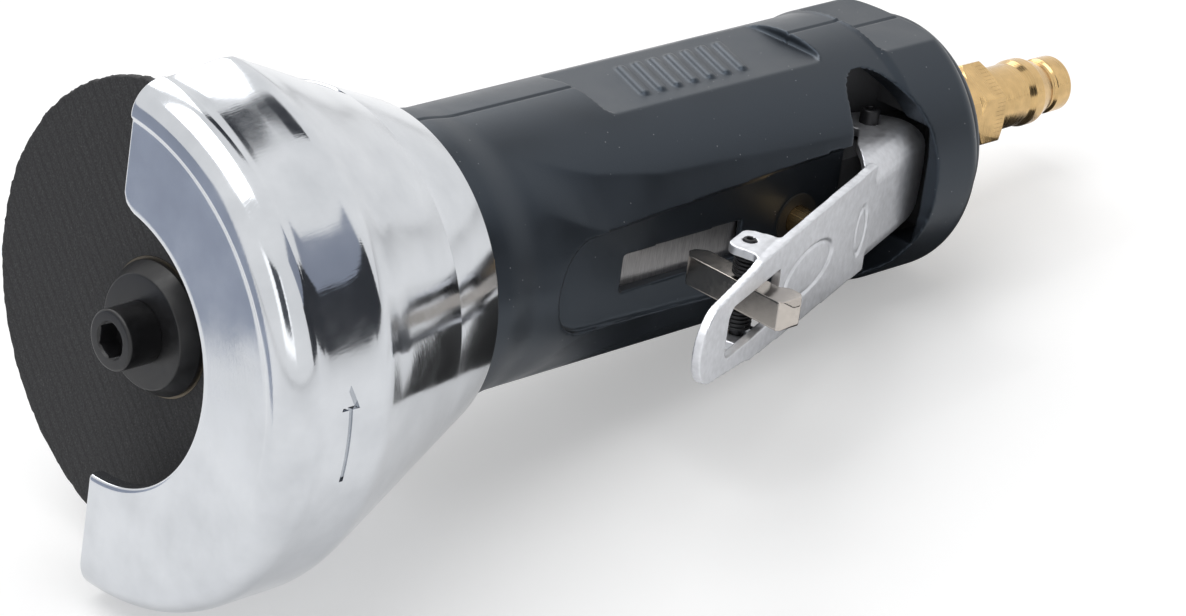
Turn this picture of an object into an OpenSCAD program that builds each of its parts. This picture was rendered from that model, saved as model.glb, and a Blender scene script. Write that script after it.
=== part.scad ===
// Straight pneumatic cut off tool: disc, half bell guard, vane motor, lever throttle and air plug.
// The tool frame has x along the spindle to the rear, z up and the lever on the -y side.

/* [Disc and flanges] */
// Diameter of the cutting disc
disc_d = 75; // [60:1:100]
// Thickness of the cutting disc
disc_t = 1.6; // [1:0.1:3]
// Diameter of the spigot that centres the disc
spigot_d = 10; // [9:0.1:12]
// Diameter of the metal ring round the disc's hole
disc_ring_d = 21.4; // [16:0.1:26]
// Thickness of that ring
disc_ring_t = 0.3; // [0.2:0.05:0.6]
// Diameter of the flanges against the disc
flange_d = 20.6; // [18:0.1:26]
// Diameter of the outer flange's front face
flange_face_d = 17.4; // [14:0.1:20]
// Thickness of the outer flange
flange_t = 3.2; // [2:0.1:5]
// Height of the outer flange's straight rim
flange_rim = 0.7; // [0.3:0.1:1.5]
// Thickness of the inner flange
backing_t = 4.4; // [3:0.1:6]
// Diameter of the inner flange's hub
hub_d = 14; // [12:0.1:15]

/* [Disc screw] */
// Thread diameter of the screw
screw_d = 6; // [5:0.1:7]
// Diameter of the screw's head
screw_head_d = 9.4; // [8:0.1:11]
// Height of the screw's head
screw_head_h = 5.9; // [4:0.1:7]
// Chamfer at the head's front edge
screw_chamfer = 0.5; // [0.2:0.1:1]
// Width across flats of the hexagon socket
socket_af = 5; // [4:0.1:6]
// Depth of the hexagon socket
socket_deep = 3.4; // [2:0.1:4.5]
// Length of the shank under the head
screw_reach = 14; // [10:0.5:18]

/* [Guard] */
// Room between the disc's edge and the guard
guard_room = 1.3; // [1:0.1:6]
// Distance of the lip in front of the disc
lip_front = 10.3; // [8:0.1:14]
// Diameter of the opening in the lip
lip_bore = 43.4; // [36:0.2:60]
// Wall of the guard
guard_wall = 2.6; // [2:0.1:4]
// Rounding of the band's front edge
guard_round = 5; // [3:0.1:7]
// Rounding inside that edge
guard_inner_round = 2.4; // [1:0.1:4]
// Rear end of the band, behind the disc's front
band_back = 8.5; // [6:0.1:14]
// Length of the shoulder from band to cone
shoulder_run = 2.4; // [1:0.1:4]
// Drop of that shoulder
shoulder_drop = 1.6; // [0.8:0.1:2.4]
// Rear end of the guard's collar
collar_back = 43.5; // [38:0.1:50]
// Length of the collar
collar_len = 13.5; // [10:0.1:18]
// Thickness of the collar's rear edge over the housing
collar_wall = 6.65; // [5.8:0.05:8]
// Turn of the guard's upper end towards the lever
guard_turn = 2; // [0:1:20]
// Diameter of the grub screw that clamps the collar
grub_d = 5; // [4:0.1:6]
// Length of the grub screw
grub_len = 5.6; // [4:0.1:6]
// Width across flats of its socket
grub_af = 2.5; // [2:0.1:3]

/* [Grip] */
// Wall of the grip over the housing
grip_wall = 2.75; // [2.5:0.05:4]
// Front end of the grip
grip_front = 43.8; // [40:0.1:50]
// Rear end of the grip
grip_back = 157.6; // [150:0.2:170]
// Rise of the flared front end over the grip
flare_rise = 0.8; // [0.4:0.1:2]
// Length of the flare
flare_len = 11; // [6:0.5:16]
// Rounding at the front edge of the flare
flare_round = 1.2; // [0.6:0.1:2]
// Rise of the rear ring over the grip
ring_rise = 0.4; // [0.2:0.1:1.5]
// Front end of the rear ring
ring_front = 143; // [138:0.2:148]
// Length of the step up to the ring
ring_step = 1.5; // [0.5:0.1:3]
// Rounding of the ring's rear edge
ring_round = 3; // [1:0.1:4]
// Front end of the flat panels above and below
panel_front = 81; // [70:0.5:90]
// Rear end of the flat panels
panel_back = 130; // [120:0.5:136]
// Depth of the flat panels in the grip
panel_cut = 1.7; // [0.6:0.1:2]
// Front end of the flat on top of the ring
pad_front = 142.6; // [138:0.2:146]
// Depth of that flat in the ring
pad_cut = 2.4; // [1:0.1:2.6]

/* [Lever pocket] */
// Front end of the pocket
pocket_front = 60.3; // [56:0.1:66]
// Thickness of the grip under the pocket
pocket_skin = 0.35; // [0.3:0.05:1]
// Thickness of the grip under the pocket's rear end, over the housing's flat
pocket_rear_skin = 0.8; // [0.6:0.05:1.4]
// Width of the pocket at the front
pocket_front_w = 16; // [12:0.2:20]
// Width of the pocket at the rear
pocket_back_w = 21.6; // [18:0.2:24]
// Front end of the slots for the lever's cheeks
slot_front = 123; // [118:0.5:127]
// Rear end of the slots for the lever's cheeks
slot_back = 152.2; // [148:0.2:153]
// Outer width over both slots
slot_w = 21.2; // [20:0.2:24]
// Room from the lever's pivot to the slots' floor
slot_room = 4.8; // [4.7:0.1:5.4]
// Cut of the roof over the lever's rear end into the housing's line
roof_cut = 0.55; // [0.2:0.05:0.8]
// Front end of the arched opening
arch_front = 128.5; // [128:0.5:134]
// Rear end of the arched opening
arch_back = 146; // [143:0.1:149]
// Margin of the arched opening from the grip's sides
arch_margin = 2.9; // [2:0.1:5]
// Rounding of the arched opening
arch_round = 9; // [4:0.1:9.6]
// Front end of the window over the housing's flat
window_front = 76; // [72:0.5:80]
// Rear end of the window
window_back = 103; // [100:0.5:110]
// Width of the window
window_w = 6.4; // [6.2:0.2:9]
// Offset of the window below the middle
window_drop = 0.4; // [0:0.1:0.5]

/* [Housing] */
// Outside diameter of the motor housing
housing_d = 39.6; // [34:0.1:46]
// Front end of the housing
housing_front = 15; // [12:0.2:18]
// Rear end of the housing
housing_back = 157.4; // [152:0.2:168]
// Wall of the housing round the motor
housing_wall = 2.75; // [2:0.05:3]
// Wall left under the flat on the lever's side
flat_wall = 0.95; // [0.8:0.05:1.2]
// Front end of that flat
flat_front = 66; // [62:0.5:74]
// Distance of the boss's low end behind the pivot
low_run = 1.5; // [1.4:0.05:1.7]
// Distance of the boss's low end outside the pivot
low_past = 1.5; // [1.2:0.1:2]
// Width of the boss between the lever's cheeks
boss_w = 15.2; // [14:0.1:17]
// Radius of the recess behind the rear bearing
relief_r = 7.1; // [6.5:0.1:7.3]
// Depth of that recess
relief_deep = 1; // [0.5:0.1:2]

/* [Motor] */
// Front face of the front end plate
motor_front = 24; // [22:0.2:28]
// Thickness of the front end plate
front_plate_t = 12; // [11:0.2:14]
// Length of the cylinder
cylinder_len = 45; // [38:0.5:48]
// Thickness of the rear end plate
rear_plate_t = 10; // [9:0.2:12]
// Least wall of the cylinder
liner_wall = 1; // [0.8:0.1:1.5]
// Offset of the cylinder's bore from the rotor
eccentric = 1.2; // [0.8:0.05:1.3]
// Least gap between rotor and cylinder
rotor_room = 0.4; // [0.2:0.05:1]
// Gap at each end of the rotor
rotor_gap = 0.3; // [0.2:0.05:0.5]
// Number of vanes
vane_n = 4; // [3:1:6]
// Thickness of a vane
vane_t = 2; // [1.5:0.1:2.5]
// Depth of a vane
vane_deep = 7; // [5:0.1:7.2]
// How far a vane lies inside the rotor's edge
vane_inset = 0.2; // [0.1:0.05:0.4]
// Diameter of the locating pin of the cylinder
dowel_d = 2; // [1.5:0.1:2.5]
// Length of that pin
dowel_len = 7; // [5:0.5:9]
// Length of the clamp nut in front of the motor
nut_len = 8; // [6:0.2:8.6]
// Bore of the clamp nut
nut_bore = 16.2; // [15.6:0.1:18]
// Diameter of the two spanner holes in the nut
spanner_d = 3; // [2:0.1:4]
// Depth of the spanner holes
spanner_deep = 4; // [2:0.1:5]
// Wall on each side of the exhaust passages
exhaust_wall = 1.05; // [0.6:0.05:1.4]
// Turn of the exhaust passages from the side of the axis
exhaust_turn = 43; // [42:1:50]

/* [Spindle and bearings] */
// Diameter of the shaft in the front bearing
shaft_d = 10; // [9:0.1:11]
// Diameter of the shaft's nose
nose_d = 8; // [7.6:0.1:8.4]
// Diameter of the shoulder behind the front bearing
shoulder_d = 13; // [12:0.1:14]
// Diameter of the shaft in the rear bearing
tail_d = 6; // [5:0.1:7]
// Diameter of the shoulder before the rear bearing
tail_shoulder_d = 7.4; // [7:0.1:8]
// Wall of the front end plate round its bearing
front_seat_wall = 4; // [3:0.1:5]
// Width of the front bearing
front_w = 8; // [7:0.1:9]
// Ball diameter of the front bearing
front_ball = 4.76; // [4:0.02:5]
// Number of balls in the front bearing
front_n = 8; // [6:1:9]
// Outside diameter of the rear bearing
rear_od = 19; // [18:0.2:20]
// Width of the rear bearing
rear_w = 6; // [5:0.1:7]
// Ball diameter of the rear bearing
rear_ball = 3.5; // [3:0.02:3.7]
// Number of balls in the rear bearing
rear_n = 7; // [6:1:8]

/* [Throttle lever] */
// Thickness of the lever's sheet
lever_t = 1.8; // [1.4:0.1:2.2]
// Angle between the lever and the spindle at rest
lever_angle = 20.3; // [16:0.1:24]
// Pivot of the lever behind the disc's front
pivot_x = 139; // [136:0.2:141]
// Depth of the pivot in the housing
pivot_deep = 7.5; // [6.8:0.1:8.3]
// Distance of the lever's outer face from the pivot
lever_rise = 8; // [7.6:0.1:8.6]
// Length from the pivot to the lever's tip
lever_reach = 82.4; // [76:0.2:90]
// Length from the pivot to the lever's rear end
lever_tail = 9.2; // [8:0.1:10]
// Width of the lever over the cheeks
cheek_w = 19.6; // [19:0.1:20.2]
// Length of the cheeks in front of the pivot
cheek_reach = 17; // [14:0.2:20]
// Radius of the cheeks round the pin
cheek_r = 4.2; // [3.4:0.1:4.6]
// Width of the arm behind the lock
arm_w = 17.2; // [16:0.2:20]
// Width of the arm at the tip
tip_w = 12.8; // [12:0.2:17]
// Cut at the rear corners
rear_cut = 4.6; // [2:0.1:5]
// Front end of the slot, from the pivot
lock_slot_front = 72; // [68:0.2:74]
// Rear end of the slot, from the pivot
lock_slot_back = 53; // [51:0.2:55]
// Width of the slot
lock_slot_w = 9; // [8.6:0.1:10]
// Diameter of the pivot pin
pivot_d = 3.2; // [2.5:0.1:4]
// Length of the pivot pin
pivot_len = 24.4; // [20:0.1:26]
// Bore down the middle of the rolled pin
pivot_bore = 1.4; // [1:0.1:2]

/* [Safety lock] */
// Lock pin in front of the pivot along the lever
lock_run = 55.6; // [53:0.2:58]
// Depth of the lock pin under the lever's outer face
lock_sink = 4.9; // [4.4:0.1:5.6]
// Length of the ears along the lever
ear_len = 8.4; // [6:0.2:10]
// How far the ears reach past the lock pin
ear_past = 2.4; // [2:0.1:3.2]
// Diameter of the lock pin
lock_pin_d = 2.2; // [1.8:0.1:2.6]
// Length of the lock pin
lock_pin_len = 17.8; // [17.6:0.1:18.8]
// Thickness of the lock's bar
lock_t = 4.4; // [4:0.1:4.6]
// Width of the lock's bar
lock_w = 4.8; // [4:0.1:6]
// Length of the finger from the pin
finger_len = 11.4; // [10:0.1:11.6]
// Cut at the finger's corners
finger_cut = 1.5; // [1.4:0.1:1.9]
// Length of the thumb end from the pin
thumb_len = 10.8; // [9.6:0.1:11.6]
// Length of the thumb end's head
head_len = 5.4; // [4.6:0.1:5.8]
// How far the head stands out behind the bar
head_past = 1.2; // [0.8:0.1:1.6]
// Cut at the head's corners
head_cut = 1.8; // [1.2:0.1:2.2]
// Wire of the lock's spring
lock_wire_d = 0.8; // [0.5:0.05:1]
// Middle radius of the lock's spring
lock_coil_r = 2.1; // [1.8:0.05:2.4]
// Rise of one curl of the lock's spring
lock_pitch = 1.3; // [1.2:0.05:1.5]
// Curls of the lock's spring
lock_curls = 1.25; // [1:0.25:2]
// Length of the spring's straight ends
lock_leg = 4.4; // [3:0.2:5]

/* [Throttle valve] */
// Valve behind the disc's front
valve_x = 116; // [112:0.2:118]
// Diameter of the valve stem
stem_d = 5; // [4:0.1:5.4]
// Gap between lever and stem
stem_gap = 0.2; // [0.15:0.05:0.4]
// Diameter of the valve bush
bush_d = 9; // [8:0.1:9.4]
// Depth of the bush's outer face in the housing
bush_inset = 0.2; // [0.1:0.1:1]
// Distance of the bush's inner face from the axis
bush_inner = 8; // [7:0.1:9]
// Bore at the valve's seat
seat_bore = 7; // [6.4:0.1:7.4]
// Distance of the seat from the axis, towards the lever
seat_drop = 3; // [2:0.1:4]
// Bore of the valve chamber
chamber_bore = 10.4; // [10:0.1:10.6]
// Diameter of the valve's head
head_d = 8.8; // [8:0.1:9.4]
// Thickness of the valve's head
head_t = 2; // [1.5:0.1:3]
// Thickness of the valve's seal
seal_t = 0.7; // [0.5:0.05:1]
// Distance of the chamber plug's inner face from the axis
plug_inner = 11; // [10:0.1:12]
// Depth of the chamber plug's outer face in the housing
plug_inset = 1.4; // [1:0.1:2]
// Wire of the valve's spring
valve_wire_d = 0.9; // [0.6:0.05:1.1]
// Middle radius of the valve's spring
valve_coil_r = 3; // [2.6:0.05:3.3]
// Curls of the valve's spring
valve_curls = 5; // [4:0.5:6]
// Diameter of the passage from valve to motor
feed_d = 4.2; // [3:0.1:4.6]
// Distance of that passage from the axis, towards the lever
feed_drop = 5.4; // [5.2:0.1:5.6]

/* [Inlet and exhaust] */
// Diameter of the passage from inlet to valve
supply_d = 6.8; // [5:0.1:7.4]
// Front end of the inlet bush's thread
inlet_front = 143.5; // [141:0.2:148]
// Thread diameter of the inlet bush
inlet_d = 14; // [12:0.1:15]
// Bore of the inlet bush
inlet_bore = 7.4; // [6:0.1:8]
// Width across flats of the inlet bush
inlet_af = 14.6; // [13.5:0.1:14.8]
// Front end of the bush's hexagon
inlet_hex_front = 161.6; // [160:0.1:166]
// Rear end of the bush
inlet_back = 175.3; // [173:0.1:178]
// Depth of the tapped hole for the air plug
plug_hole_deep = 11; // [8:0.2:12]
// Thread diameter of the air plug
plug_thread_d = 10; // [9:0.1:11]
// Thickness of the strainer in the inlet bush
screen_t = 0.8; // [0.5:0.1:1.2]
// Diameter of a hole in the strainer
screen_hole = 1.2; // [0.8:0.1:1.4]
// Width across flats of the air plug's hexagon
plug_af = 14; // [12:0.1:15]
// Rear end of the air plug's hexagon
plug_hex_back = 183; // [179:0.1:184]
// Chamfer of the air plug's hexagon
plug_chamfer = 0.9; // [0.4:0.1:1.2]
// Diameter of the air plug's body
plug_body_d = 11.3; // [10:0.1:12]
// Rear end of the body
plug_body_back = 190; // [188:0.1:191]
// Diameter of the air plug's collar
plug_collar_d = 11.8; // [11.4:0.1:13]
// Rear end of the collar
plug_collar_back = 193.4; // [192.8:0.1:194.4]
// Diameter at the bottom of the air plug's groove
plug_groove_d = 9; // [8:0.1:9.4]
// Rear end of the groove
plug_groove_back = 197.2; // [196.4:0.1:198]
// Diameter of the air plug's tip
plug_tip_d = 9.8; // [9:0.1:10.4]
// Rear end of the air plug
plug_back = 203; // [199:0.1:208]
// Chamfer of the tip
plug_tip_cut = 1; // [0.5:0.1:1.5]
// Bore of the air plug
plug_bore = 6.6; // [5:0.1:7]
// Front face of the muffler felt
felt_front = 153.6; // [153:0.1:155]
// Wall of the housing round the felt
felt_wall = 1.6; // [1.2:0.1:2.4]
// Hole in the felt
felt_hole = 19.2; // [18:0.1:21]
// Thickness of the exhaust cover
cover_t = 4; // [2.5:0.1:5]
// Rounding of the exhaust cover's edge
cover_round = 2; // [1:0.1:2.4]
// Diameter of an exhaust hole
vent_d = 3.6; // [2:0.1:4.4]
// Number of exhaust holes
vent_n = 10; // [6:1:14]
// Hole in the exhaust cover
cover_hole = 17.6; // [17.2:0.1:18.6]

/* [Fits] */
// Radial gap of a seated fit
fit = 0.05; // [0.02:0.01:0.1]
// Radial gap of a pin that turns
running = 0.05; // [0.02:0.01:0.09]
// Gap beside a moving piece
clear = 0.3; // [0.2:0.05:0.5]

/* [Hidden] */
$fn = 96;
// Overrun of a cut past the face it opens
over = 1;
// Steps in each rounded corner of an outline
round_n = 10;
hex_sides = 6;
// Outline steps per curl and sides of a spring's wire
curl_n = 8;
wire_n = 6;

// Everything round the axis is measured from the housing, the guard from the disc.
housing_r = housing_d / 2;
sleeve_bore_r = housing_r + fit;
grip_r = sleeve_bore_r + grip_wall;
grip_d = grip_r * 2;
flare_r = grip_r + flare_rise;
ring_r = grip_r + ring_rise;
panel_rise = grip_r - panel_cut;
pad_rise = ring_r - pad_cut;
pocket_floor = sleeve_bore_r + pocket_skin;
roof_drop = sleeve_bore_r - roof_cut;
arch_w = grip_d - arch_margin * 2;
collar_d = (sleeve_bore_r + collar_wall) * 2;
guard_d = disc_d + (guard_room + guard_wall) * 2;
guard_r = guard_d / 2;
motor_bore_r = housing_r - housing_wall;
motor_r = motor_bore_r - fit;
flat_drop = motor_bore_r + flat_wall;
front_od = (motor_r - front_seat_wall) * 2;
cylinder_bore = (motor_r - liner_wall - eccentric) * 2;
rotor_d = cylinder_bore - (eccentric + rotor_room) * 2;
dowel_r = motor_r - liner_wall / 2 - eccentric;
exhaust_d = motor_r - rear_od / 2 - exhaust_wall * 2;
exhaust_r = (motor_r + rear_od / 2) / 2;
pivot_drop = housing_r - pivot_deep;
slot_floor = pivot_drop - slot_room;
low_drop = pivot_drop + low_past;
low_front = pivot_x + low_run;
bush_outer = housing_r - bush_inset;
plug_outer = housing_r - plug_inset;
felt_d = (housing_r - felt_wall) * 2;
vent_r = (cover_hole / 2 + housing_r) / 2;
front_plate_back = motor_front + front_plate_t;
cylinder_back = front_plate_back + cylinder_len;
motor_back = cylinder_back + rear_plate_t;
rotor_front = front_plate_back + rotor_gap;
rotor_back = cylinder_back - rotor_gap;
front_seat = motor_front + front_w;
rear_seat = motor_back - rear_w;
front_pitch_r = (shaft_d + front_od) / 4;
rear_pitch_r = (tail_d + rear_od) / 4;
hex_r_share = 1 / cos(30);
collar_front = collar_back - collar_len;
cone_front = band_back + shoulder_run;
cone_front_r = guard_r - shoulder_drop;
cone_drop_share = (cone_front_r - collar_d / 2) / (collar_back - cone_front);
cone_wall = guard_wall / cos(atan(cone_drop_share));
boss_half = boss_w / 2;
slot_half = slot_w / 2;

// Rest pose: the band's rear edge and the ring's last full width both touch the bench.
rest_x = grip_back - ring_round;
tilt = atan((guard_r - ring_r) / (rest_x - band_back));
lift = guard_r * cos(tilt) + band_back * sin(tilt);
front_x = -(lip_front - guard_round) * cos(tilt) - (guard_r - guard_round) * sin(tilt) - guard_round;
back_x = plug_back * cos(tilt) + (plug_tip_d / 2 - plug_tip_cut) * sin(tilt);
lever_side_y = -pivot_drop - lever_reach * sin(lever_angle) - lever_rise * cos(lever_angle);
middle_x = (front_x + back_x) / 2;
middle_y = (lever_side_y + disc_d / 2) / 2;

// Lock pin and stem in the tool frame at rest.
lock_rise = lever_rise - lock_sink;
lock_x = pivot_x - lock_run * cos(lever_angle) + lock_rise * sin(lever_angle);
lock_y = -pivot_drop - lock_run * sin(lever_angle) - lock_rise * cos(lever_angle);
lever_inner = lever_rise - lever_t;
stem_r = stem_d / 2;
stem_hold = lever_inner - stem_gap - stem_r;
stem_run = (pivot_x - valve_x + stem_hold * sin(lever_angle)) / cos(lever_angle);
stem_y = -pivot_drop - stem_run * sin(lever_angle) - stem_hold * cos(lever_angle);
seal_y = -seat_drop + stem_gap;
head_y = seal_y + seal_t;
spring_y = head_y + head_t;
valve_pitch = (plug_inner - spring_y - valve_wire_d) / valve_curls;

// Stands a piece of the tool frame on the bench.
module on_bench() translate([-middle_x, -middle_y, lift]) rotate([0, tilt, 0]) children();

// Turns a drawing's z axis onto the spindle's axis.
module along(x) translate([x, 0, 0]) rotate([0, 90, 0]) children();

module rod(x0, x1, r) along(x0) cylinder(h = x1 - x0, r = r);

module tube(x0, x1, outer_r, inner_r) difference() {
  rod(x0, x1, outer_r);
  rod(x0 - over, x1 + over, inner_r);
}

module hex_rod(x0, x1, af) along(x0) cylinder(h = x1 - x0, r = af / 2 * hex_r_share, $fn = hex_sides);

// Outline points are [radius, x].
module turned(points) along(0) rotate_extrude() polygon(points);

module block(x0, x1, y0, y1, half_w) translate([x0, y0, -half_w]) cube([x1 - x0, y1 - y0, half_w * 2]);

// A round along y at x, from y0 to y1.
module cross_rod(x, y0, y1, r) translate([x, y0, 0]) rotate([-90, 0, 0]) cylinder(h = y1 - y0, r = r);

// A round along z at x, y, centred on the spindle's plane.
module pin_rod(x, y, len, r) translate([x, y, -len / 2]) cylinder(h = len, r = r);

// Points of a rounding round a centre [r, x], from one angle to another.
function rounding(r_mid, x_mid, size, from, to) =
  [for (i = [0:round_n])
    let (a = from + (to - from) * i / round_n)
    [r_mid + size * cos(a), x_mid + size * sin(a)]];

// The lever's own frame: x to its tip, y out of its outer face, from the pivot.
module on_lever() translate([pivot_x, -pivot_drop, 0]) rotate([0, 0, 180 + lever_angle]) children();

// A plan of [x, z] points pulled through y0 to y1.
module slab(y0, y1, points) translate([0, y1, 0]) rotate([90, 0, 0]) linear_extrude(y1 - y0) polygon(points);

// One unbroken wire along a list of points, with a frame for each.
function unit(v) = v / norm(v);
function wire_ring(path, i, r) =
  let (before = path[max(i - 1, 0)],
       after = path[min(i + 1, len(path) - 1)],
       way = unit(after - before),
       side = unit(cross(way, abs(way[2]) > 0.8 ? [1, 0, 0] : [0, 0, 1])),
       rise = cross(side, way))
  [for (k = [0:wire_n - 1]) path[i] + r * (cos(360 * k / wire_n) * side + sin(360 * k / wire_n) * rise)];

module wire(path, r) {
  rings = len(path);
  points = [for (i = [0:rings - 1]) each wire_ring(path, i, r)];
  sides = [for (i = [0:rings - 2]) for (k = [0:wire_n - 1])
    let (near = i * wire_n, far = near + wire_n, next = (k + 1) % wire_n)
    each [[near + k, near + next, far + next], [near + k, far + next, far + k]]];
  front = [for (k = [1:wire_n - 2]) [0, k + 1, k]];
  last = (rings - 1) * wire_n;
  back = [for (k = [1:wire_n - 2]) [last, last + k, last + k + 1]];
  polyhedron(points = points, faces = concat(front, sides, back));
}

// Least gap of a coiled wire to itself, over points at least half a curl apart.
function self_gap(path, wire_d) =
  min([for (i = [0:len(path) - 1]) for (j = [i + curl_n / 2:1:len(path) - 1]) norm(path[i] - path[j])]) - wire_d;

function curl_path(r, pitch, curls) =
  [for (i = [0:round(curls * curl_n)])
    let (a = 360 * i / curl_n)
    [r * cos(a), r * sin(a), pitch * i / curl_n]];

// Rings of a ball bearing between x0 and x1 with a groove for the balls.
module bearing_ring(x0, x1, outer_r, inner_r, pitch_r, ball_d) difference() {
  tube(x0, x1, outer_r, inner_r);
  along((x0 + x1) / 2) rotate_extrude() translate([pitch_r, 0]) circle(r = ball_d / 2 + running);
}

ball_gap_share = 0.36;
module bearing_inner(x0, x1, bore_d, od, ball_d)
  bearing_ring(x0, x1, (bore_d + od) / 4 - ball_d * ball_gap_share, bore_d / 2 + fit,
               (bore_d + od) / 4, ball_d);
module bearing_outer(x0, x1, bore_d, od, ball_d)
  bearing_ring(x0, x1, od / 2 - fit, (bore_d + od) / 4 + ball_d * ball_gap_share,
               (bore_d + od) / 4, ball_d);

module balls(x0, x1, pitch_r, ball_d, count)
  for (i = [0:count - 1]) rotate([360 * i / count, 0, 0])
    translate([(x0 + x1) / 2, pitch_r, 0]) sphere(r = ball_d / 2);

cage_half_share = 0.64;
cage_wall_share = 0.17;
module bearing_cage(x0, x1, pitch_r, ball_d, count) difference() {
  tube((x0 + x1) / 2 - ball_d * cage_half_share, (x0 + x1) / 2 + ball_d * cage_half_share,
       pitch_r + ball_d * cage_wall_share, pitch_r - ball_d * cage_wall_share);
  for (i = [0:count - 1]) rotate([360 * i / count, 0, 0])
    cross_rod((x0 + x1) / 2, pitch_r - ball_d, pitch_r + ball_d, ball_d / 2 + fit);
}

// Disc, flanges and screw.
module cutting_disc() on_bench() color([0.16, 0.16, 0.17]) difference() {
  tube(0, disc_t, disc_d / 2, spigot_d / 2 + fit);
  rod(-over, disc_ring_t, disc_ring_d / 2 + fit);
}

module disc_ring() on_bench() color([0.72, 0.58, 0.3])
  tube(0, disc_ring_t, disc_ring_d / 2, spigot_d / 2 + fit);

module outer_flange() on_bench() color([0.09, 0.09, 0.1]) difference() {
  turned([[0, -flange_t], [flange_face_d / 2, -flange_t],
          [flange_d / 2, -flange_rim], [flange_d / 2, 0], [0, 0]]);
  rod(-flange_t - over, over, screw_d / 2 + fit);
}

module inner_flange() on_bench() color([0.2, 0.2, 0.22]) difference() {
  union() {
    rod(fit, disc_t, spigot_d / 2);
    rod(disc_t, disc_t + backing_t, flange_d / 2);
    rod(disc_t + backing_t, motor_front, hub_d / 2);
  }
  rod(-over, motor_front + over, nose_d / 2 + fit);
}

module disc_screw() on_bench() color([0.1, 0.1, 0.11]) difference() {
  union() {
    turned([[0, -flange_t - screw_head_h], [screw_head_d / 2 - screw_chamfer, -flange_t - screw_head_h],
            [screw_head_d / 2, -flange_t - screw_head_h + screw_chamfer], [screw_head_d / 2, -flange_t],
            [0, -flange_t]]);
    rod(-flange_t, screw_reach - flange_t, screw_d / 2);
  }
  hex_rod(-flange_t - screw_head_h - over, -flange_t - screw_head_h + socket_deep, socket_af);
}

// Rotor with its shaft and the vanes in their slots.
module rotor() on_bench() color([0.55, 0.55, 0.57]) difference() {
  union() {
    rod(disc_ring_t + fit, motor_front, nose_d / 2);
    rod(motor_front, front_seat, shaft_d / 2);
    rod(front_seat, rotor_front, shoulder_d / 2);
    rod(rotor_front, rotor_back, rotor_d / 2);
    rod(rotor_back, rear_seat, tail_shoulder_d / 2);
    rod(rear_seat, motor_back, tail_d / 2);
  }
  rod(-over, screw_reach - flange_t + over, screw_d / 2 + fit);
  for (i = [0:vane_n - 1]) rotate([360 * i / vane_n, 0, 0])
    block(rotor_front - over, rotor_back + over,
          rotor_d / 2 - vane_inset - vane_deep - fit, rotor_d / 2 + over, vane_t / 2 + fit);
}

module rotor_vanes() on_bench() color([0.45, 0.3, 0.16])
  for (i = [0:vane_n - 1]) rotate([360 * i / vane_n, 0, 0])
    block(rotor_front, rotor_back,
          rotor_d / 2 - vane_inset - vane_deep, rotor_d / 2 - vane_inset, vane_t / 2);

// Bearings.
module front_bearing_inner() on_bench() color([0.7, 0.7, 0.72])
  bearing_inner(motor_front, front_seat, shaft_d, front_od, front_ball);
module front_bearing_outer() on_bench() color([0.7, 0.7, 0.72])
  bearing_outer(motor_front, front_seat, shaft_d, front_od, front_ball);
module front_bearing_balls() on_bench() color([0.8, 0.8, 0.82])
  balls(motor_front, front_seat, front_pitch_r, front_ball, front_n);
module front_bearing_cage() on_bench() color([0.6, 0.5, 0.28])
  bearing_cage(motor_front, front_seat, front_pitch_r, front_ball, front_n);
module rear_bearing_inner() on_bench() color([0.7, 0.7, 0.72])
  bearing_inner(rear_seat, motor_back, tail_d, rear_od, rear_ball);
module rear_bearing_outer() on_bench() color([0.7, 0.7, 0.72])
  bearing_outer(rear_seat, motor_back, tail_d, rear_od, rear_ball);
module rear_bearing_balls() on_bench() color([0.8, 0.8, 0.82])
  balls(rear_seat, motor_back, rear_pitch_r, rear_ball, rear_n);
module rear_bearing_cage() on_bench() color([0.6, 0.5, 0.28])
  bearing_cage(rear_seat, motor_back, rear_pitch_r, rear_ball, rear_n);

// Both exhaust passages, drilled along the axis.
module exhaust_cuts(x0, x1) for (s = [-1, 1])
  rotate([s * exhaust_turn, 0, 0]) translate([0, exhaust_r, 0]) rod(x0, x1, exhaust_d / 2);

module dowel_shape(gap) translate([0, -dowel_r, 0])
  rod(cylinder_back - dowel_len / 2 - gap, cylinder_back + dowel_len / 2 + gap, dowel_d / 2 + gap);

// Motor parts that stand still.
plate_relief_share = 0.84;
module front_end_plate() on_bench() color([0.6, 0.6, 0.6]) difference() {
  rod(motor_front, front_plate_back, motor_r);
  rod(motor_front - over, front_seat, front_od / 2);
  rod(motor_front, front_plate_back + over, front_pitch_r * plate_relief_share + clear);
}

module rear_end_plate() on_bench() color([0.6, 0.6, 0.6]) difference() {
  rod(cylinder_back, motor_back, motor_r);
  rod(rear_seat, motor_back + over, rear_od / 2);
  rod(cylinder_back - over, motor_back, rear_pitch_r * plate_relief_share + clear);
  exhaust_cuts(cylinder_back - over, motor_back + over);
  translate([0, -feed_drop, 0]) rod(cylinder_back - over, motor_back + over, feed_d / 2);
  dowel_shape(fit);
}

module cylinder_liner() on_bench() color([0.5, 0.5, 0.52]) difference() {
  rod(front_plate_back, cylinder_back, motor_r);
  translate([0, eccentric, 0]) rod(front_plate_back - over, cylinder_back + over, cylinder_bore / 2);
  dowel_shape(fit);
}

module cylinder_dowel() on_bench() color([0.65, 0.65, 0.67]) dowel_shape(0);

module clamp_nut() on_bench() color([0.32, 0.32, 0.34]) difference() {
  tube(motor_front - nut_len, motor_front, motor_r, nut_bore / 2);
  for (s = [-1, 1]) translate([0, s * (motor_r + nut_bore / 2) / 2, 0])
    rod(motor_front - nut_len - over, motor_front - nut_len + spanner_deep, spanner_d / 2);
}

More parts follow.
